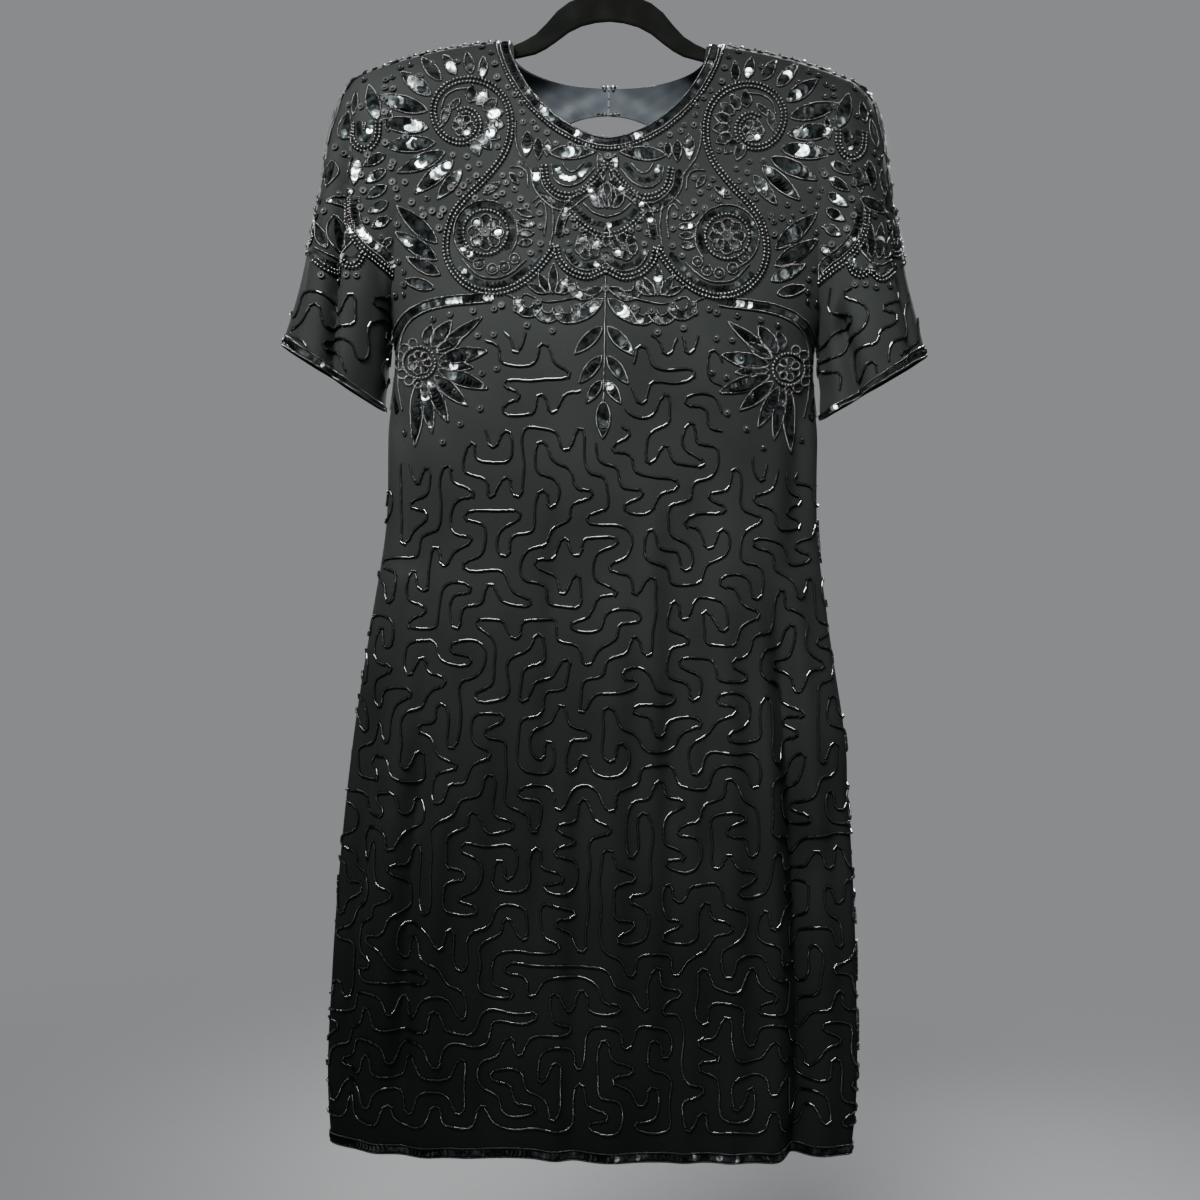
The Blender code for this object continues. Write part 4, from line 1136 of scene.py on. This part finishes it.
def wander(width, height, pitch, seed, upright=0.12):
    """A single closed line that wanders over a grid of cells without crossing itself.

    Cells of twice the pitch are joined in random order wherever that closes no ring, upright joints
    somewhat sooner, and at first only where it makes no straight run of three, which gives a crooked
    tree. The line walks once round it. Its corners are shaken by up to 0.16 of the pitch, swayed by
    slow waves, drawn a quarter of the way to both neighbours, and cut three times.
    """
    draw = np.random.default_rng(seed)
    columns, rows = max(int(width / (2 * pitch)), 2), max(int(height / (2 * pitch)), 2)
    joined = set()
    group = {(x, y): (x, y) for x in range(columns) for y in range(rows)}

    def root(cell):
        while group[cell] != cell:
            cell = group[cell]
        return cell

    def makes_a_run(a, b):
        dx, dy = b[0] - a[0], b[1] - a[1]
        return (a, (a[0] - dx, a[1] - dy)) in joined or (b, (b[0] + dx, b[1] + dy)) in joined

    joints = [((x, y), (x + 1, y)) for x in range(columns - 1) for y in range(rows)]
    level = len(joints)
    joints += [((x, y), (x, y + 1)) for x in range(columns) for y in range(rows - 1)]
    order = np.argsort(draw.random(len(joints)) - upright * (np.arange(len(joints)) >= level))
    for any_run in (False, True):
        for k in order:
            a, b = joints[k]
            if root(a) != root(b) and (any_run or not makes_a_run(a, b)):
                group[root(a)] = root(b)
                joined |= {(a, b), (b, a)}
    # walk round the tree, keeping it on the left, over nodes at the cells' quarters
    ways = [(1, 0), (0, 1), (-1, 0), (0, -1)]

    def blocked(node, way):
        """Whether the step from a node crosses a joint of the tree or leaves its cell unjoined."""
        x, y = node
        nx, ny = x + ways[way][0], y + ways[way][1]
        cell, other = (x // 2, y // 2), (nx // 2, ny // 2)
        if cell != other:
            return (cell, other) not in joined
        up, out = (1 if y % 2 else -1, 0) if ways[way][0] else (0, 1 if x % 2 else -1)
        return (cell, (cell[0] + out, cell[1] + up)) in joined

    node, way, path = (0, 0), 0, []
    for _ in range(4 * columns * rows):
        path.append(node)
        way = next((way + turn) % 4 for turn in (-1, 0, 1, 2) if not blocked(node, (way + turn) % 4))
        node = (node[0] + ways[way][0], node[1] + ways[way][1])
    path = (np.array(path, float) + 0.5) * pitch
    path += draw.uniform(-0.16, 0.16, path.shape) * pitch
    x, z = path.T / pitch
    path += 0.20 * pitch * pairs(np.sin(1.7 * z + 0.9 * x) + 0.5 * np.sin(0.6 * x - 2.3 * z),
                                 np.sin(1.6 * x - 0.7 * z + 1.0) + 0.5 * np.sin(2.2 * x + 0.8 * z))
    path = 0.5 * path + 0.25 * (np.roll(path, 1, axis=0) + np.roll(path, -1, axis=0))
    for _ in range(3):
        after = np.roll(path, -1, axis=0)
        path = np.stack([0.75 * path + 0.25 * after, 0.25 * path + 0.75 * after], 1).reshape(-1, 2)
    return path


def wandering_line(area, place, path, left, top, inside):
    """Bugles along a closed wandering line that starts at left and top, where it is inside."""
    path = pairs(path[:, 0] + left, top - (path[:, 1] - path[:, 1].min()))
    sew(area, "bugle", place, np.vstack([path, path[:1]]), closed=True, keep=inside)


def vermicelli(is_front, area, seed):
    """The wandering line of the skirt: below the yoke's foot, off the side rosettes and, in front, off
    the spray, and short of the side seams and the hem."""
    def inside(spots):
        x, z = np.abs(spots[:, 0]) / 1.03, spots[:, 1]
        bare = (x < 0.092) | (z < -0.480 + 0.35 * np.maximum(0.150 - x, 0))
        bare &= (z > HEM + 0.014) & (np.abs(spots[:, 0]) < half_girth(z) * 0.975)
        if not is_front:
            return bare & (z < -0.386)
        spray = (x < 0.031 - 0.16 * (-0.345 - z)) & (z > -0.462)
        return bare & ~spray & (z < -0.374 + 0.010 * ease((x - 0.075) / 0.02))

    path = wander(0.500, -0.350 - HEM, 0.0098, seed)
    wandering_line(area, skirt[is_front], path, -path[:, 0].mean(), -0.350, inside)


def sleeve_vermicelli(area, side, ahead, seed):
    """The wandering line on one face of a sleeve, from the head's beadwork down to the hem band."""
    def inside(spots):
        x, z = spots.T
        foot = np.interp(x, (0.175, 0.187, 0.198, 0.207, 0.240, 0.260),
                         (-0.336, -0.328, -0.321, -0.334, -0.334, -0.330))
        hem = np.interp(x, (0.186, 0.273), (-0.433, -0.380))
        ridge = np.interp(-z, -SLEEVE["top_z"], SLEEVE["top_x"])
        return (z < foot) & (z > hem + 0.013) & (x < ridge - 0.0015) & (x > 0.1815)

    path = wander(0.130, 0.150, 0.0096, seed)
    wandering_line(area, sleeve_side[side, ahead], path, 0.166 - path[:, 0].min(), -0.300, inside)


# ---------------------------------------------------------------- the beadwork


def on_yoke(spots):
    """Between the neck band, the shoulder and the yoke's foot, on the wearer's right."""
    x, z = -spots[:, 0], spots[:, 1]
    neck = np.interp(x, (0.0, 0.030, 0.055, 0.075, 0.092), (-0.222, -0.217, -0.203, -0.176, -0.140))
    foot = np.interp(x, (0.0, 0.030, 0.080, 0.110, 0.170), (-0.330, -0.332, -0.345, -0.336, -0.345))
    armhole = np.interp(-z, (0.140, 0.200, 0.340), (0.200, 0.184, 0.172))
    return (z < neck) & (z > foot) & (z < -0.142) & (x < armhole - 0.004)


def sew_front():
    """The yoke's ornament, the same on both sides, and the spray down its middle."""
    plan = Drawing(volute_and_drop, neck_scrolls, heart, scallops, leaf_spray, shoulder_leaves, armhole_band,
                   side_rosette)
    fill_ground(plan, on_yoke, 12)
    plan.sewn_on("front", front_stitches)
    spray = Drawing()
    spray.line("fine", np.array([(0.0, -0.325), (0.0, -0.380), (0.0, -0.428)]))
    spray.leaves("0,427,0,457,11.5 0,268,0,247,8 0,300,0,283,6")
    spray.dots("0,309 0,334 0,226", size=1.1)
    spray.sewn_on("front", front_stitches, sides=(1,))


def sew_back():
    """Ornament of the same kind round the keyhole."""
    plan = Drawing(shoulder_leaves, armhole_band, side_rosette)
    edge = np.radians(np.linspace(0, 172, 90))
    z = KEYHOLE_WIDEST - np.cos(edge) * np.where(edge < pi / 2, KEYHOLE_WIDEST - KEYHOLE_FOOT, 0.050)
    hole = pairs(-KEYHOLE_X * np.sin(edge), z)
    for distance, kind in ((0.0018, "fine"), (0.0056, "sequin"), (0.0094, "fine")):
        plan.line(kind, beside(hole, distance), tilt=0.25)
    plan.double(beside(hole, 0.0135)[:74], gap=NARROW)
    for foot, tip in zip(beside(hole, 0.0160)[4:68:6], beside(hole, 0.0320)[4:68:6]):
        plan.leaf(foot, tip, 0.0085)
    plan.double("96,160 112,166 126,178 132,194 129,212 120,230 110,250 104,272 100,296 92,318 78,334 60,343 "
                "42,348", gap=0.0035)
    plan.flower("113,190", 10.5, 7)
    plan.leaves("22,366,6,357,8 24,371,26,392,8.5 34,366,44,384,8.5 46,360,62,374,8.5 60,354,78,364,8")
    plan.dots("98,178 104,210 100,232 92,300 74,345 90,338 10,372 120,246 124,262 118,280 114,300 122,318", size=1.05)
    fill_ground(plan, lambda spots: on_yoke(spots) & (spots[:, 0] < -0.075), 14)
    plan.sewn_on("back", back_stitches)


def shoulder_strip(is_front):
    """Plan of the shoulder's roll: x is across, z minus the way down the cloth from the seam."""
    def place(x, z):
        climb = seam_top(x)[1] + z
        return body_stitches(is_front, turn_at(x, height_at(x, climb)[0]), climb)
    return place


def sew_shoulders():
    """Discs over the shoulders in staggered rows."""
    for is_front, area, rows in ((True, "front", 2), (False, "back", 3)):
        plan = Drawing()
        for row in range(rows):
            for k in range(9):
                plan.dot(np.array((-0.096 - 0.0105 * (k + 0.5 * (row % 2)), -0.005 - 0.0085 * row)), 1.0)
        plan.sewn_on(area, shoulder_strip(is_front))


def sew_neck():
    """The neck's finished edge, front and back, parted at the slit and just short of the shoulder seams."""
    for is_front, area in HALVES:
        half = body_points(is_front, *neckline(is_front, 80))[:-3, (0, 2)]
        path = np.vstack([half[:0:-1] * (-1, 1), half])
        keep = None if is_front else (lambda spots: np.abs(spots[:, 0]) > 0.004)
        for distance, kind, pitch, tilt in ((0.0010, "fine", None, 0), (0.0044, "sequin", 0.0034, 0.28),
                                            (0.0080, "fine", None, 0), (0.0108, "seed", None, 0)):
            sew(area, kind, on_body(is_front), beside(path, -distance), pitch, tilt=tilt, keep=keep)


def sew_closure():
    """Bright beads in a cluster at the top and at the foot of the slit, seen over the facing."""
    for x, z, up in ((0.0022, -0.1412, 1), (0.0054, -0.1413, 1), (0.0038, -0.1438, 1),
                     (0.0026, -0.1654, -1), (0.0058, -0.1652, -1), (0.0090, -0.1648, -1)):
        for side in (1, -1):
            at = np.array([side * x]), np.array([z])
            point = body_points(False, turn_at(*at), climb_at(*at)) - (0, 0.0022, 0.0005 * up)
            add_beads("back", "seed", point, np.array([(0, -0.9, 0.4)]), np.array([(1.0, 0, 0.1 * up)]), 1.1)


def sew_hem():
    """The band of the hem, which stays just short of the side seams."""
    reach = half_girth(HEM + 0.005) * TO_SEAM
    for is_front, area in HALVES:
        edge_band(area, skirt[is_front], pairs(np.linspace(-reach, reach, 200), np.full(200, HEM)), 0.0095)


def sleeve_ridge(plan):
    """Half of the beadwork along the overarm. x is the way round from it, z the way down."""
    plan.leaves("9,10,8,34,9.5 0,66,0,42,8.5 16,44,19,66,8 15,92,13,116,9")
    plan.double("6,38 10,46 9,58 14,70 22,78")
    plan.flower("0,84", 10.5, 7)
    for x, z in ((0, 147), (24, 148)):
        middle = np.array((x, z)) * MM
        plan.double(arc(middle, 0.0120, 15, 165))
        plan.line("sequin", arc(middle, 0.0076, 10, 170), tilt=0.2)
        plan.leaves(f"{x},{z + 4},{x},{z - 15},7.5 "
                    f"{x - 4.5},{z + 2},{x - 9},{z - 11},6 {x + 4.5},{z + 2},{x + 9},{z - 11},6")
        plan.dots(f"{x + 12},{z + 17} {x},{z + 21} {x + 12},{z - 14}", size=1.05)
    plan.dots("18,12 2,22 18,30 5,104 24,90 22,122 4,126", size=1.1)


def sleeve_head(plan):
    """The beadwork on the face of a sleeve's head: leaves, nested loops and the band that sweeps up
    from the armhole, over a scalloped foot. x and z are places seen from the front."""
    plan.leaves("191,196,200,164,11.5 213,188,211,169,7.5 224,208,219,184,8 182,206,180,186,6 184,226,201,235,8 "
                "183,239,199,249,8 182,252,198,262,8 181,265,196,274,8 180,278,193,286,7.5 206,230,209,251,8.5 "
                "216,222,220,246,9 228,228,231,250,7 209,256,231,264,10 214,303,208,281,7.5 219,304,216,273,9 "
                "225,304,227,274,9 231,303,239,281,7.5 178,294,185,302,5")
    plan.double("190,199 190.5,211 196,220 204,221 211,213 212.5,198")
    plan.line("sequin", "196,199 197.5,208 201.5,213 205.5,208 207,199", tilt=0.2)
    plan.line("fine", "200.5,199 201.5,205 203,199")
    plan.banded("208,262 207,277 202,290 193,300 183,307 175,315", wide=3.8, size=1.1)
    plan.double("214.5,266 213.5,281 208,295 199,306 188,314 177,322")
    for row in "200,309 204,317 211,319 218,314", "218,314 224,320.5 231,320 238,313":
        plan.double(row, gap=0.0032)
        plan.line("sequin", plan.path(row) + (0.0005, 0.0050), tilt=0.2, size=1.1)
    plan.line("fine", "210,300 219,308 228,309 238,303")
    plan.dots("186,168 205,158 186,178 205,184 218,178 220,214 184,216 198,226 212,228 224,220 203,243 213,240 "
              "226,256 201,256 203,270 198,281 220,268 232,272 236,262 240,272 205,326 222,328 213,326 234,326 "
              "186,293 179,236 233,240 227,216", size=1.05)


def sew_sleeves():
    """The band round each sleeve's hem, the overarm, and both faces with their wandering lines."""
    around = np.linspace(-AROUND, AROUND, 300)[:-1]
    for word, side in SIDES:
        area = "sleeve_" + word
        edge_band(area, sleeve[side], pairs(around, np.full_like(around, 0.2495)), -0.0100, closed=True)
        Drawing(sleeve_ridge, unit=(MM, MM)).sewn_on(area, sleeve[side])
        face = Drawing(sleeve_head, unit=(MM, -MM))
        for ahead in (1, -1):
            face.sewn_on(area, sleeve_side[side, ahead], sides=(1,))
            sleeve_vermicelli(area, side, ahead, 31 + side + 4 * ahead)


# ---------------------------------------------------------------- hanger, buttons, loops


def dress_hardware():
    """The hanger, its hook, the buttons and the loops keep their solids' shapes."""
    finishes = {"hanger": FLOCK, "hanger_hook": CHROME}
    for word in ("upper", "lower"):
        finishes |= {"nape_button_" + word: SEED_GLASS, "nape_loop_" + word: CREPE}
    for node, material in finishes.items():
        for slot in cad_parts[node].material_slots:
            slot.material = material


# ---------------------------------------------------------------- camera, floor and lights

FLOOR_HALF, FLOOR_Z, FLOOR_THICK = 7.0, -1.32, 0.02
# name, place, what it is turned to, width and height, watts, spread in degrees
LIGHTS = (
    ("strip in front", (-0.30, -0.80, 0.30), (0.0, 0.02, -0.40), (0.90, 0.18), 12.0, 48),
    ("glint left", (-0.95, -0.95, -0.05), (0.0, 0.0, -0.35), (0.20, 0.34), 2.4, 180),
    ("glint right", (0.85, -1.15, 0.05), (0.0, 0.0, -0.30), (0.20, 0.34), 2.4, 180),
    ("glint at the hem", (-0.10, -0.62, -1.21), (0.0, -0.04, -1.05), (0.16, 0.045), 0.22, 120),
    ("strip behind", (0.30, 0.84, 0.32), (0.0, 0.02, -0.46), (0.90, 0.18), 14.0, 60),
    ("glint behind", (-0.95, 1.1, -0.1), (0.0, 0.0, -0.4), (0.20, 0.34), 4.0, 180),
)


def set_up_studio():
    """A pale floor that fades out, a plain sky, soft lights and the camera."""
    link = bpy.context.scene.collection.objects.link
    low, high = (np.array([(x, y, z) for x, y in ((-1, -1), (1, -1), (1, 1), (-1, 1))])
                 * (FLOOR_HALF, FLOOR_HALF, 1) for z in (FLOOR_Z - FLOOR_THICK, FLOOR_Z))
    faces = [(0, 1, 2, 3), (7, 6, 5, 4), (1, 0, 4, 5), (2, 1, 5, 6), (3, 2, 6, 7), (0, 3, 7, 4)]
    mesh = bpy.data.meshes.new("studio_floor")
    mesh.from_pydata(np.vstack([high, low]).tolist(), [], faces)
    mesh.materials.append(studio_paper())
    floor = bpy.data.objects.new("studio_floor", mesh)
    link(floor)

    world = bpy.context.scene.world or bpy.data.worlds.new("studio")
    bpy.context.scene.world = world
    world.use_nodes = True
    background = world.node_tree.nodes["Background"]
    background.inputs["Color"].default_value = hex_colour(STUDIO_TONE)
    background.inputs["Strength"].default_value = STUDIO_GLOW

    for name, place, aim, size, watts, spread in LIGHTS:
        lamp = bpy.data.lights.new(name, "AREA")
        lamp.shape = "RECTANGLE"
        lamp.size, lamp.size_y = size
        lamp.energy, lamp.spread = watts, radians(spread)
        light = bpy.data.objects.new(name, lamp)
        light.location = place
        light.rotation_euler = Vector(np.subtract(place, aim)).to_track_quat("Z", "Y").to_euler()
        link(light)

    lens = bpy.data.cameras.new("camera")
    lens.lens_unit = "FOV"
    lens.angle = radians(43.8)
    lens.clip_start, lens.clip_end = 0.05, 40.0
    camera = bpy.data.objects.new("camera", lens)
    camera.location = EYE
    camera.rotation_euler = (pi / 2, -radians(1.0), 0.0)
    link(camera)
    bpy.context.scene.camera = camera


set_up_studio()
make_cloth()
dress_hardware()
sew_front()
sew_back()
sew_shoulders()
sew_neck()
sew_closure()
sew_hem()
sew_sleeves()
vermicelli(True, "front", 3)
vermicelli(False, "back", 8)
make_beads()
